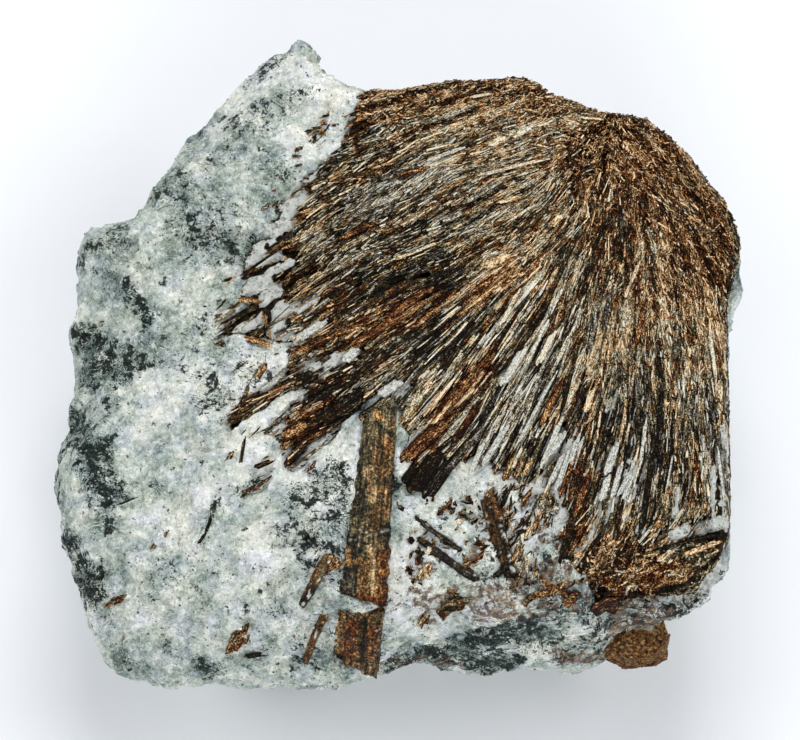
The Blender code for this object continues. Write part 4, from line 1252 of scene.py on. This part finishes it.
def strew_tree():
    """Small crystals strewn over a surface: thick where one of its values is high."""
    tree, nodes, keys, given = start_tree("strew crystals", [
        ("Form", "Object", None), ("Where", "String", "bare"), ("Density", "Float", 1.0),
        ("Shortest", "Float", 0.5), ("Longest", "Float", 1.0), ("Narrowest", "Float", 0.1),
        ("Widest", "Float", 0.3), ("Sink", "Float", 0.0), ("Lean", "Float", 0.3),
        ("Twist", "Float", 0.5), ("Darkest", "Float", 0.2), ("Palest", "Float", 0.6),
        ("Seed", "Int", 1), ("Finish", "Material", None)])

    where = nodes.math("MULTIPLY", stored(nodes, given["Where"]), given["Density"])
    strewn = nodes.add("GeometryNodeDistributePointsOnFaces", {
        0: given["Geometry"], 4: where, 6: given["Seed"]})
    upright = nodes.add("FunctionNodeAxesToRotation", {
        0: strewn.outputs["Normal"], 1: stored(nodes, "run", "FLOAT_VECTOR")},
        primary_axis="Z", secondary_axis="X")
    turn = nodes.add("FunctionNodeRotateRotation", {0: upright, 1: nodes.add(
        "FunctionNodeEulerToRotation", {0: nodes.add("ShaderNodeCombineXYZ", {
            0: swing(nodes, given, "Twist", 1), 1: swing(nodes, given, "Lean", 2),
            2: swing(nodes, given, "Twist", 3)})})},
        rotation_space="LOCAL")
    length = random_between(nodes, given, given["Shortest"], given["Longest"], 4)
    width = random_between(nodes, given, given["Narrowest"], given["Widest"], 5)
    tone = random_between(nodes, given, given["Darkest"], given["Palest"], 6)
    points = strewn.outputs["Points"]
    for name, value in (("length", length), ("width", width), ("tone", tone)):
        points = nodes.add("GeometryNodeStoreNamedAttribute", {
            "Geometry": points, "Name": name, "Value": value})
    sunk = nodes.add("GeometryNodeSetPosition", {"Geometry": points, "Offset": nodes.vector(
        "MULTIPLY", strewn.outputs["Normal"], nodes.add("ShaderNodeCombineXYZ", {
            0: given["Sink"], 1: given["Sink"], 2: given["Sink"]}))})
    laid = nodes.add("GeometryNodeInstanceOnPoints", {
        "Points": sunk, "Instance": nodes.add("GeometryNodeObjectInfo", {
            "Object": given["Form"]}).outputs["Geometry"], "Rotation": turn,
        "Scale": nodes.add("ShaderNodeCombineXYZ", {0: length, 1: width, 2: width})})
    real = nodes.add("GeometryNodeRealizeInstances", {"Geometry": laid})
    done = nodes.add("GeometryNodeSetMaterial", {"Geometry": real, "Material": given["Finish"]})
    nodes.add("NodeGroupOutput", {0: done})
    return tree, keys


def drape_surface():
    """A smooth skin over rock and fan, for blades to lie on."""
    mesh = remeshed(solid("matrix", "blade_fan", swell=DRAPE_SWELL), DRAPE_VOXEL)
    found = places(mesh)
    smooth = np.stack([spread(mesh, found[:, axis], DRAPE_ROUNDS) for axis in range(3)], axis=1)
    put_places(mesh, smooth)
    return linked("drape surface", mesh)


# Blades that stand out: picture points of the two ends, width in millimetres, tone, tint,
# paleness and lift
SINGLE_LATHS = [
    (419, 126, 470, 111, 1.0, 0.55, -0.9, 0, 0.5), (510, 138, 530, 128, 1.6, 0.86, -0.6, 0, 0.5),
    (490, 148, 505, 138, 1.4, 0.80, 0.1, 0, 0.5), (427, 163, 465, 148, 0.7, 0.98, 0.0, 0.6, 0.5),
    (478, 178, 550, 160, 0.5, 0.95, 0.1, 0.2, 0.5), (462, 217, 505, 195, 1.2, 0.58, 0.1, 0, 0.3),
    (463, 206, 500, 182, 0.9, 0.62, -0.9, 0, 0.5), (443, 223, 465, 213, 0.9, 0.62, -0.9, 0, 0.5),
    (497, 205, 523, 198, 0.7, 0.76, 0.7, 0, 0.5), (483, 268, 510, 256, 1.3, 0.85, 0.2, 0, 0.3),
    (509, 223, 535, 206, 0.4, 0.97, 0.0, 0.3, 0.6), (391, 262, 442, 242, 0.5, 0.78, 0.2, 0, 0.4),
    (470, 100, 493, 95, 0.5, 0.95, 0.0, 0.3, 0.6), (580, 118, 604, 120, 0.5, 0.80, 0.5, 0, 0.3),
    (244, 301, 260, 301, 0.8, 0.52, 0.7, 0, 0.1), (220, 326, 254, 305, 0.5, 0.10, 0.0, 0, 0.1),
    (240, 277, 282, 249, 0.4, 0.12, 0.2, 0, 0.1), (217, 335, 264, 299, 0.3, 0.20, 0.2, 0, 0.1),
    (297, 341, 326, 322, 1.3, 0.95, 0.0, 1.0, 0.4), (291, 358, 328, 336, 1.5, 0.45, 0.9, 0, 0.3),
    (244, 338, 272, 346, 1.0, 0.55, 0.5, 0, 0.1), (280, 389, 318, 371, 1.3, 0.12, 0.0, 0, 0.2),
    (317, 402, 360, 374, 1.8, 0.08, 0.0, 0, 0.2), (283, 437, 306, 424, 1.6, 0.44, 0.8, 0, 0.3),
    (281, 450, 292, 441, 1.0, 0.46, 0.7, 0, 0.2), (266, 363, 244, 398, 1.1, 0.52, 0.6, 0, 0.1),
    (247, 394, 229, 424, 0.7, 0.20, 0.0, 0, 0.1), (287, 471, 324, 445, 0.5, 0.50, 0.0, 0, 0.1),
    (254, 469, 273, 461, 0.8, 0.14, 0.2, 0, 0.1), (226, 464, 233, 451, 0.7, 0.40, 0.4, 0, 0.1),
    (240, 467, 245, 437, 0.5, 0.30, -0.6, 0, 0.1), (400, 424, 431, 383, 1.5, 0.70, 0.1, 0, 0.4),
    (422, 434, 440, 414, 0.8, 0.84, 0.6, 0, 0.5), (401, 463, 444, 426, 2.0, 0.36, 1.2, 0, 0.8),
    (430, 430, 490, 357, 1.3, 0.48, 1.0, 0, 0.6), (432, 427, 450, 408, 0.5, 0.88, 0.5, 0, 0.7),
    (501, 388, 526, 349, 1.2, 0.96, -0.4, 0.8, 0.5), (537, 367, 555, 333, 0.9, 0.96, 0.1, 0.2, 0.5),
    (483, 467, 508, 426, 0.9, 0.95, 0.0, 1.0, 0.4), (515, 450, 557, 372, 0.5, 0.95, 0.0, 1.0, 0.5),
    (513, 406, 542, 363, 1.9, 0.58, -0.9, 0, 0.2), (549, 459, 565, 432, 1.1, 0.95, 0.0, 1.0, 0.4),
    # The near-black plate from (578, 449) to (604, 413) is painted shadow in a hollow among the
    # blades
    (586, 416, 593, 390, 1.0, 0.80, 0.3, 0, 0.4), (578, 449, 604, 413, 2.0, 0.03, 0.0, 0, 0.1),
    (709, 330, 717, 384, 0.6, 0.93, 0.0, 0.4, 0.4), (717, 449, 728, 528, 0.5, 0.96, 0.0, 1.0, 0.4),
    (657, 564, 674, 550, 0.8, 0.76, 0.4, 0, 0.3), (683, 556, 722, 539, 0.7, 0.66, 0.6, 0, 0.3),
    (653, 554, 727, 534, 0.5, 0.03, 0.0, 0, 0.5), (606, 477, 617, 444, 1.1, 0.98, 0.0, 1.0, 0.5),
    (601, 503, 609, 476, 1.0, 0.97, 0.0, 0.9, 0.5), (570, 505, 592, 425, 1.3, 0.30, 0.8, 0, 0.3),
    (494, 578, 509, 562, 0.9, 0.25, -1.0, 0, 0.1), (205, 535, 217, 500, 0.5, 0.10, -0.5, 0, -0.1),
    (198, 544, 206, 532, 0.5, 0.12, -0.5, 0, -0.1), (118, 505, 138, 497, 0.3, 0.10, -0.5, 0, -0.1),
    (244, 656, 271, 653, 0.4, 0.12, 0.0, 0, -0.1), (305, 541, 321, 522, 0.5, 0.12, -0.8, 0, -0.1),
    (323, 668, 332, 627, 1.0, 0.40, 0.7, 0, -0.2), (540, 320, 580, 230, 0.7, 0.20, 0.3, 0, 0.5),
    (500, 330, 520, 290, 0.6, 0.94, 0.1, 0.1, 0.6), (560, 420, 580, 340, 0.6, 0.12, 0.0, 0, 0.5),
    (333, 395, 400, 352, 0.7, 0.14, 0.2, 0, 0.4), (345, 352, 440, 292, 1.1, 0.44, 0.9, 0, 0.3),
    (330, 322, 420, 280, 1.4, 0.20, 0.4, 0, 0.2), (640, 540, 655, 440, 0.9, 0.10, -0.6, 0, 0.3),
    (560, 570, 578, 500, 1.1, 0.12, 0.2, 0, 0.2), (612, 560, 622, 500, 0.8, 0.16, 0.4, 0, 0.3),
    (549, 488, 565, 452, 0.8, 0.9, 0.0, 1.0, 0.3), (556, 492, 573, 444, 0.9, 0.9, 0.0, 1.0, 0.4),
    (563, 486, 579, 436, 0.8, 0.9, 0.0, 1.0, 0.5), (571, 474, 583, 440, 0.6, 0.9, 0.0, 1.0, 0.4),
    (541, 470, 562, 420, 0.8, 0.9, -0.3, 0.8, 0.4), (612, 500, 622, 462, 0.8, 0.9, 0.0, 1.0, 0.3),
    (622, 505, 634, 470, 0.7, 0.9, 0.0, 1.0, 0.3), (618, 498, 630, 474, 0.7, 0.9, 0.0, 1.0, 0.4),
    (470, 476, 484, 442, 0.8, 0.9, 0.1, 0.9, 0.3),
    (640, 470, 646, 420, 0.5, 0.9, 0.1, 0.6, 0.4), (524, 372, 548, 322, 0.7, 0.85, -0.6, 0.2, 0.6),
    (590, 352, 598, 300, 1.0, 0.50, -1.0, 0, 0.5), (604, 330, 612, 290, 0.8, 0.46, -1.0, 0, 0.5),
    (625, 300, 640, 262, 0.5, 0.86, 0.4, 0.2, 0.6), (350, 540, 330, 572, 1.5, 0.52, 1.0, 0, 0.2),
    (343, 606, 368, 618, 1.1, 0.9, 0.0, 1.0, 0.0), (410, 494, 440, 452, 2.4, 0.04, 0.0, 0, 0.4),
    (362, 617, 391, 618, 1.0, 0.9, 0.0, 1.0, 0.0), (424, 500, 456, 456, 1.8, 0.06, -0.4, 0, 0.4),
    (404, 484, 420, 464, 1.6, 0.05, 0.2, 0, 0.3), (446, 474, 476, 438, 1.1, 0.40, -1.0, 0, 0.5),
    (407, 463, 413, 455, 1.0, 0.72, 0.8, 0, 0.5), (504, 482, 514, 458, 1.0, 0.60, 0.6, 0, 0.3),
    (514, 480, 524, 460, 0.9, 0.52, 0.4, 0, 0.3), (379, 397, 402, 383, 1.5, 0.9, 0.0, 1.0, 0.5),
    (344, 364, 358, 350, 1.5, 0.9, 0.0, 1.0, 0.4), (388, 320, 432, 288, 1.5, 0.34, 1.3, 0, 0.5),
    (352, 346, 400, 318, 1.2, 0.38, 1.3, 0, 0.5), (318, 425, 360, 398, 2.0, 0.05, 0.0, 0, 0.4),
    (360, 421, 392, 398, 1.8, 0.42, -0.3, 0, 0.4), (410, 332, 446, 306, 0.9, 0.42, 1.3, 0, 0.6),
    (305, 352, 350, 330, 0.8, 0.36, 1.2, 0, 0.4), (540, 430, 562, 380, 1.1, 0.34, 1.1, 0, 0.5),
    (575, 520, 590, 470, 1.3, 0.34, 1.2, 0, 0.4), (560, 500, 576, 452, 0.9, 0.36, 1.2, 0, 0.5),
    (455, 442, 482, 402, 1.1, 0.30, 1.0, 0, 0.5), (636, 345, 646, 300, 0.9, 0.34, 1.0, 0, 0.4),
    (398, 180, 430, 168, 0.9, 0.36, 1.1, 0, 0.4), (340, 240, 380, 222, 0.8, 0.34, 1.0, 0, 0.4),
    (470, 300, 500, 276, 1.0, 0.36, 1.0, 0, 0.5), (690, 510, 698, 460, 1.0, 0.36, 1.0, 0, 0.4),
    (522, 478, 532, 458, 0.8, 0.64, 0.7, 0, 0.3),
]


# Broken crystals in the rock, in the same way
ROCK_CHIPS = [
    (437, 515, 452, 498, 1.3, 0.36, 0.6, 0, -0.1), (440, 503, 454, 510, 0.9, 0.30, 0.9, 0, -0.1),
    (460, 566, 478, 558, 1.2, 0.42, 0.6, 0, -0.1), (468, 574, 484, 549, 1.0, 0.34, 0.9, 0, -0.1),
    (462, 552, 474, 568, 0.8, 0.46, 0.3, 0, -0.1), (416, 580, 431, 562, 1.3, 0.74, 0.5, 0, -0.1),
    (419, 566, 429, 578, 1.1, 0.70, 0.7, 0, -0.1), (540, 546, 547, 517, 1.2, 0.34, 0.2, 0, 0.0),
    (534, 572, 542, 544, 0.6, 0.38, 0.7, 0, 0.0), (521, 508, 531, 489, 1.1, 0.36, 0.9, 0, 0.1),
    (554, 541, 586, 521, 1.1, 0.36, 0.9, 0, 0.0), (560, 532, 572, 542, 1.0, 0.44, 0.9, 0, 0.0),
    (544, 573, 561, 560, 1.2, 0.22, 0.0, 0, 0.0), (540, 580, 575, 598, 1.0, 0.34, 0.9, 0, -0.1),
    (496, 618, 517, 613, 0.8, 0.28, 0.5, 0, -0.1), (414, 600, 432, 592, 1.5, 0.38, 0.4, 0, -0.1),
    (436, 614, 470, 596, 1.6, 0.36, 0.3, 0, -0.1), (446, 586, 466, 604, 1.2, 0.40, 0.4, 0, -0.1),
    (430, 584, 462, 588, 0.6, 0.44, 0.8, 0, -0.1), (418, 622, 430, 614, 0.8, 0.42, 0.8, 0, -0.1),
    (484, 603, 500, 588, 0.8, 0.42, 0.5, 0, -0.1), (505, 596, 520, 580, 0.7, 0.38, 0.3, 0, -0.1),
    (520, 606, 540, 590, 0.9, 0.40, 0.8, 0, -0.1), (536, 596, 560, 588, 0.8, 0.34, 0.7, 0, -0.1),
    (562, 604, 590, 592, 1.0, 0.34, 0.9, 0, -0.1), (590, 608, 624, 596, 1.1, 0.30, 0.9, 0, -0.1),
    (484, 500, 494, 486, 0.9, 0.34, 0.5, 0, 0.1), (489, 534, 500, 512, 1.1, 0.30, 0.6, 0, 0.1),
    (499, 545, 508, 518, 0.8, 0.16, 0.2, 0, 0.1), (150, 549, 169, 530, 0.9, 0.48, 0.3, 0, -0.2),
    (104, 606, 127, 594, 1.1, 0.46, 0.3, 0, -0.3), (112, 602, 124, 598, 1.0, 0.40, 0.6, 0, -0.3),
    (225, 654, 249, 622, 1.5, 0.40, 0.4, 0, -0.2), (232, 650, 250, 634, 1.2, 0.34, 0.7, 0, -0.2),
    (240, 497, 256, 484, 0.9, 0.20, 0.5, 0, -0.2), (252, 492, 272, 475, 0.8, 0.28, 0.7, 0, -0.2),
    (236, 300, 262, 301, 1.0, 0.50, 0.9, 0, 0.1), (262, 310, 272, 342, 0.8, 0.42, 0.6, 0, 0.2),
]
SINGLES = {"single_laths": SINGLE_LATHS, "rock_chips": ROCK_CHIPS}


def seeds_of_singles(table, carry):
    seeds = []
    for right, down, far_right, far_down, width, tone, tint, pale, lift in table:
        near, far = carry((right, down)), carry((far_right, far_down))
        middle, run = (near + far) / 2, far - near
        seeds.append(dict(
            x=middle.x, y=middle.y, z=lift, heading=math.atan2(run.y, run.x),
            length=math.hypot(run.x, run.y), width=width, tone=tone, tint=tint, pale=pale))
    return seeds


def seeds_of_zones(zones, carry, over, rng):
    tried = [seed_of_lath(ZONES[zone], carry, over, rng)
             for zone in zones for _ in range(ZONES[zone]["count"])]
    return [seed for seed in tried if seed]


# Pieces of laid blades: the form and the zones of each
LATH_PIECES = {
    "laths_all_over": ("thin", ["all over", "lower middle"]),
    "laths_upper": ("short", ["top mat", "root mat", "upper left sweep", "middle"]),
    "laths_right": ("short", ["right mat", "right flank"]),
    "laths_lower": ("short", ["lower right", "left fingers", "front right mat"]),
    "stray_laths": ("chip", ["broken lower edge", "ragged left edge", "finger tips",
                             "rock beside the blades"]),
    "blade_plates": ("plate", ["plates"]),
    "single_laths": ("plate", []),
    "rock_chips": ("chip", []),
}
# Outlines of the laid blades: along, left and right at each station
BLADE_OUTLINES = {
    "short": [(-0.5, -0.35, 0.3), (0.5, -0.5, 0.45)],
    "thin": [(-0.5, -0.3, 0.2), (-0.1, -0.5, 0.5), (0.5, -0.2, 0.3)],
    "chip": [(-0.5, -0.02, 0.08), (-0.32, -0.42, 0.26), (-0.05, -0.3, 0.5), (0.22, -0.5, 0.3),
             (0.5, -0.12, 0.04)],
    "plate": [(-0.5, -0.05, 0.2), (-0.42, -0.1, 0.46), (-0.36, -0.5, 0.5), (0.0, -0.5, 0.46),
              (0.3, -0.44, 0.5), (0.38, -0.4, 0.12), (0.5, -0.3, 0.0)],
}


def make_laths(carry, finish):
    tree, keys = lath_tree()
    surface = drape_surface()
    over = fan_finder(surface)
    forms = {name: blade_form(name + " blade", rows) for name, rows in BLADE_OUTLINES.items()}
    for step, (name, (form, zones)) in enumerate(LATH_PIECES.items()):
        rng = random.Random(40 + step)
        seeds = (seeds_of_zones(zones, carry, over, rng) if zones
                 else seeds_of_singles(SINGLES[name], carry))
        mesh = grown(mesh_of_seeds(seeds), tree, keys, Form=forms[form], Surface=surface,
                     Thickness=LATH_THICKNESS, Roll=0.12 if form == "plate" else 0.4, Pitch=0.02,
                     Seed=step, Finish=finish)
        new_piece(name, mesh, finish, "fan_blades")
    for helper in (*forms.values(), surface):
        bpy.data.objects.remove(helper)


def strew(name, ground, form, finish, slot, **values):
    """A piece of small crystals strewn over the mesh of a finished piece."""
    tree, keys = strew_tree()
    mesh = ground.data.copy()
    mesh.transform(Matrix.Scale(1.0 / MM, 4))
    made = grown(mesh, tree, keys, Form=form, Finish=finish, **values)
    return new_piece(name, made, finish, slot)


def make_strewn(rock, mass, rock_finish, blade_finish, dark_finish):
    """Grains and needles on the rock, and matted blades round the fan's rim."""
    grain = grain_form("albite grain", 8)
    needle = blade_form("needle", [(-0.5, -0.3, 0.3), (0.5, -0.4, 0.4)])
    fibre = blade_form("matted blade", [(-0.5, -0.35, 0.4), (0.5, -0.4, 0.3)])
    strew("albite_grains", rock, grain, rock_finish, "host_rock", Where="bare", Density=0.4,
          Shortest=0.3, Longest=1.0, Narrowest=0.25, Widest=0.6, Sink=-0.1, Lean=3.1, Twist=3.1,
          Seed=3)
    strew("dark_needles", rock, needle, dark_finish, "host_rock", Where="murky", Density=2.4,
          Shortest=0.3, Longest=1.0, Narrowest=0.1, Widest=0.26, Sink=-0.04, Lean=0.12,
          Twist=1.5, Seed=5)
    strew("rim_blades", mass, fibre, blade_finish, "fan_blades", Where="rim", Density=3.2,
          Shortest=0.4, Longest=1.5, Narrowest=0.2, Widest=0.5, Sink=0.08, Lean=0.06, Twist=0.6,
          Darkest=0.05, Palest=0.80, Seed=7)
    for helper in (grain, needle, fibre):
        bpy.data.objects.remove(helper)


# Single blades

# Patches on the single blades: two picture points, size in millimetres, tone and tint
BLADE_PATCHES = [
    (376, 404, 377, 432, 2.2, 0.48, -0.3), (366, 452, 364, 520, 1.2, 0.34, -0.6),
    (384, 450, 380, 520, 1.8, 0.45, 0.3), (394, 490, 394, 520, 0.6, 0.28, 0.2),
    (370, 470, 374, 500, 0.9, 0.60, 0.2), (353, 545, 351, 600, 1.3, 0.34, -0.9),
    (378, 414, 380, 418, 0.5, 0.62, 0.9), (386, 440, 388, 446, 0.5, 0.60, 0.9),
    (389, 527, 384, 532, 0.9, 0.26, -0.5), (371, 548, 375, 598, 0.55, 0.70, 0.35),
    (362, 560, 362, 590, 0.8, 0.44, 0.3), (391, 548, 388, 604, 0.9, 0.22, 0.6),
    (362, 600, 378, 604, 1.0, 0.42, 0.9), (383, 556, 381, 590, 0.7, 0.42, 0.7),
    (346, 556, 338, 564, 1.3, 0.62, 0.7), (330, 578, 322, 586, 1.2, 0.50, 0.0),
    (313, 662, 345, 642, 0.5, 0.60, 0.2), (322, 668, 350, 650, 0.3, 0.15, 0.0),
    (315, 595, 303, 612, 1.2, 0.14, 0.2), (352, 628, 350, 655, 1.0, 0.36, 0.8),
    (364, 622, 362, 660, 0.5, 0.20, 0.2), (374, 630, 373, 655, 0.8, 0.40, 0.7),
    (336, 610, 330, 625, 0.8, 0.52, 0.6), (490, 495, 498, 515, 0.8, 0.34, 0.5),
    (505, 530, 518, 575, 0.9, 0.16, 0.2), (466, 574, 489, 586, 1.2, 0.22, -1.0),
]
# A thin pale crack across the broad blade, by picture points
CRACKS = [(346, 541), (356, 539), (364, 531), (374, 535), (386, 530), (398, 532)]
# Across a blade from its left side: place from -1 to 1, tone, tint
GREY_BROAD = [(-1, 0.38, -0.6), (0.0, 0.46, -0.2), (1, 0.36, 0.2)]
RED_BROAD = [(-1, 0.40, 0.1), (0.0, 0.46, 0.2), (1, 0.36, 0.0)]
# Each single blade: the fineness of its mesh in millimetres, how slim its tip is, how whole
# its face is (under 1, rock shows at its edges) and its tones
SINGLE_BLADES = {
    "broad_blade_upper": (0.28, 0.0, 1.15, GREY_BROAD),
    "broad_blade_lower": (0.28, 0.0, 0.95, RED_BROAD),
    "side_blade": (0.19, 0.0, 0.75, [(-1, 0.5, 0.5), (1, 0.44, 0.2)]),
    "side_finger": (0.19, 0.0, 0.75, [(-1, 0.44, 0.4), (1, 0.34, 0.4)]),
    "long_lath": (0.19, 0.0, 0.60, [(-1, 0.26, 0.4), (0.0, 0.34, 0.3), (1, 0.2, 0.0)]),
    "needle_left": (0.19, 0.7, 1.0, [(-1, 0.22, -0.6), (1, 0.3, -0.8)]),
    "needle_right": (0.19, 0.7, 0.85, [(-1, 0.2, -0.9), (1, 0.25, -0.9)]),
}


def blade_axes(found, middle):
    """Directions along a blade, towards the viewer, and across it, to the right."""
    axes = np.linalg.eigh(np.cov((found - middle).T))[1]
    along, across = axes[:, 2], axes[:, 1]
    return along * (-1.0 if along[1] > 0.0 else 1.0), across * (-1.0 if across[0] < 0.0 else 1.0)


def cleavage(along, across, middle):
    """Height of the fine lines and steps that run along a blade's face."""
    lines = np.array([
        noise.noise(Vector((one / 6.0, two / 0.45, middle[0]))) +
        0.5 * noise.noise(Vector((one / 2.5, two / 0.2, middle[1])))
        for one, two in zip(along, across)])
    steps = np.array([
        noise.noise(Vector((round(noise.noise(Vector((one / 9.0, two / 3.0, 1.0))) * 3.0
                                  + two * 1.1) * 7.7, middle[0], 3.0)))
        for one, two in zip(along, across)])
    return 0.10 * lines + 0.22 * steps


def edge_moves(along, across, share, slim):
    """How far each place moves across a blade, for its chipped edges and its slim tip."""
    chipped = np.array([
        0.45 * noise.noise(Vector((one / 1.3, side, 2.0))) +
        0.25 * noise.noise(Vector((one / 0.45, side, 5.0)))
        for one, side in zip(along, np.sign(across))]) * held(share * share)
    return chipped - across * slim * held(1.0 - along / (0.5 * np.ptp(along))) ** 0.5


def mark_tones(mesh, found, spots, share, tones):
    """Tone and tint across a blade, and in its patches."""
    stops, tone, tint = zip(*tones)
    tone, tint = np.interp(share, stops, tone), np.interp(share, stops, tint)
    ragged = noise_at(found, (1.3, 0.5))
    for right, down, end_right, end_down, size, patch_tone, patch_tint in BLADE_PATCHES:
        away = on_line(spots, (right, down), (end_right, end_down)) * PIXEL / size + ragged
        inside = held(1.6 * (1.3 - away))
        tone += inside * (patch_tone - tone)
        tint += inside * (patch_tint - tint)
    put_values(mesh, "tone", tone)
    put_values(mesh, "tint", tint)


def crack_at(found, spots):
    """Paleness of the dotted crack across the broad blade."""
    away = np.array([on_line(spots, start, end) for start, end in zip(CRACKS, CRACKS[1:])])
    crack = np.clip(1.3 - away.min(axis=0) * PIXEL / 0.09, 0.0, 0.5)
    return crack * held(0.6 + 2.0 * noise_at(found, (0.5, 1.0)))


def make_single_blade(node, slot, finish, voxel, slim, whole, tones):
    """A split blade: the solid's own shape with cleavage steps and lines along it."""
    mesh = remeshed(solid(node), voxel)
    found, facing = places(mesh), normals(mesh)
    middle = found.mean(axis=0)
    run, side = blade_axes(found, middle)
    along, across = (found - middle) @ run, (found - middle) @ side
    half = np.percentile(np.abs(across), 98)
    share = across / half
    found = found + facing * cleavage(along, across, middle)[:, None]
    put_places(mesh, found + side * edge_moves(along, across, share, slim)[:, None])
    spots = spots_of(found)
    put_values(mesh, "along", along)
    put_values(mesh, "across", across)
    put_values(mesh, "width", np.full(len(found), half))
    mark_tones(mesh, found, spots, share, tones)
    flaked = noise_at(found, (0.9, 1.0), (0.4, 0.5))
    pale = np.clip(4.0 * (flaked + 0.5 * np.abs(share) - whole), 0.0, 0.9)
    if node == "broad_blade_upper":
        pale = np.maximum(pale, crack_at(found, spots))
    put_values(mesh, "pale", pale)
    return new_piece(node + "_crystal", mesh, finish, slot, node)


def make_single_blades(finish):
    slots = {item["node"]: item["material_slot"] for item in frame["record"]["subparts"]}
    for node, settings in SINGLE_BLADES.items():
        make_single_blade(node, slots[node], finish, *settings)


def make_cluster(finish):
    """The rusty lump of matted blades, rough with small facets."""
    mesh = remeshed(solid("lower_cluster"), CLUSTER_VOXEL)
    found, facing = places(mesh), normals(mesh)
    rough = np.array([chips(Vector(place), 1.6, 0.5, 0.5) for place in found])
    rough += noise_at(found, (0.6, 0.15))
    put_places(mesh, found + facing * (rough - CLUSTER_SINK)[:, None])
    return new_piece("rusty_cluster", mesh, finish, "matted_blades", "lower_cluster")


# Stage

def make_floor():
    mesh = bpy.data.meshes.new("floor")
    corners = [(-1, -1), (1, -1), (1, 1), (-1, 1)]
    mesh.from_pydata([(FLOOR_HALF * right, FLOOR_HALF * back, 0.0) for right, back in corners],
                     [], [(0, 1, 2, 3)])
    finish = Finish("pale paper", Base_Color=(0.92, 0.935, 0.97, 1.0), Roughness=0.9)
    mesh.materials.append(finish.material)
    floor = linked("floor", mesh)


# Soft lamps round the specimen: place in metres and power in watts
LAMPS = {
    "back lamp": ((0.05, 0.62, 0.72), 4.5),
    "left lamp": ((-0.78, 0.10, 0.50), 2.2),
    "right lamp": ((0.78, 0.10, 0.50), 2.5),
    "front lamp": ((0.05, -0.75, 0.52), 3.3),
}


def make_lamp(name, place, power):
    """A square soft lamp that faces the specimen."""
    data = bpy.data.lights.new(name, "AREA")
    data.size = LAMP_SIZE
    data.energy = power
    lamp = linked(name, data)
    lamp.location = place
    lamp.rotation_euler = (LAMP_AIM - Vector(place)).to_track_quat("-Z", "Y").to_euler()


def make_light():
    """Pale light from all round, and the lamps."""
    world = bpy.data.worlds.new("soft room")
    world.use_nodes = True
    ground = world.node_tree.nodes["Background"]
    ground.inputs["Color"].default_value = (0.93, 0.96, 1.0, 1.0)
    ground.inputs["Strength"].default_value = 0.33
    bpy.context.scene.world = world
    for name, (place, power) in LAMPS.items():
        make_lamp(name, place, power)
    bpy.context.scene.view_settings.view_transform = "Standard"


def make_camera():
    data = bpy.data.cameras.new("camera")
    data.sensor_width = SENSOR
    data.lens = SENSOR * CAMERA_DISTANCE / (PICTURE_SIZE[0] * PIXEL)
    data.clip_start, data.clip_end = CLIP
    camera = linked("camera", data)
    camera.matrix_world = Matrix.Translation(CAMERA_PLACE * MM) @ Matrix(
        (RIGHT, UP, -FORWARD)).transposed().to_4x4()
    bpy.context.scene.camera = camera


def make_specimen():
    make_camera()
    make_light()
    make_floor()
    skin = rock_skin()
    carry = caster_onto(skin)
    rock_finish, blade_finish = host_rock_finish(), lath_finish()
    rock = make_host_rock(skin, rock_finish)
    mass = make_fan_mass(fan_mass_finish())
    make_laths(carry, blade_finish)
    make_strewn(rock, mass, rock_finish, blade_finish, needle_finish())
    make_single_blades(broad_blade_finish())
    make_cluster(matted_finish())


make_specimen()
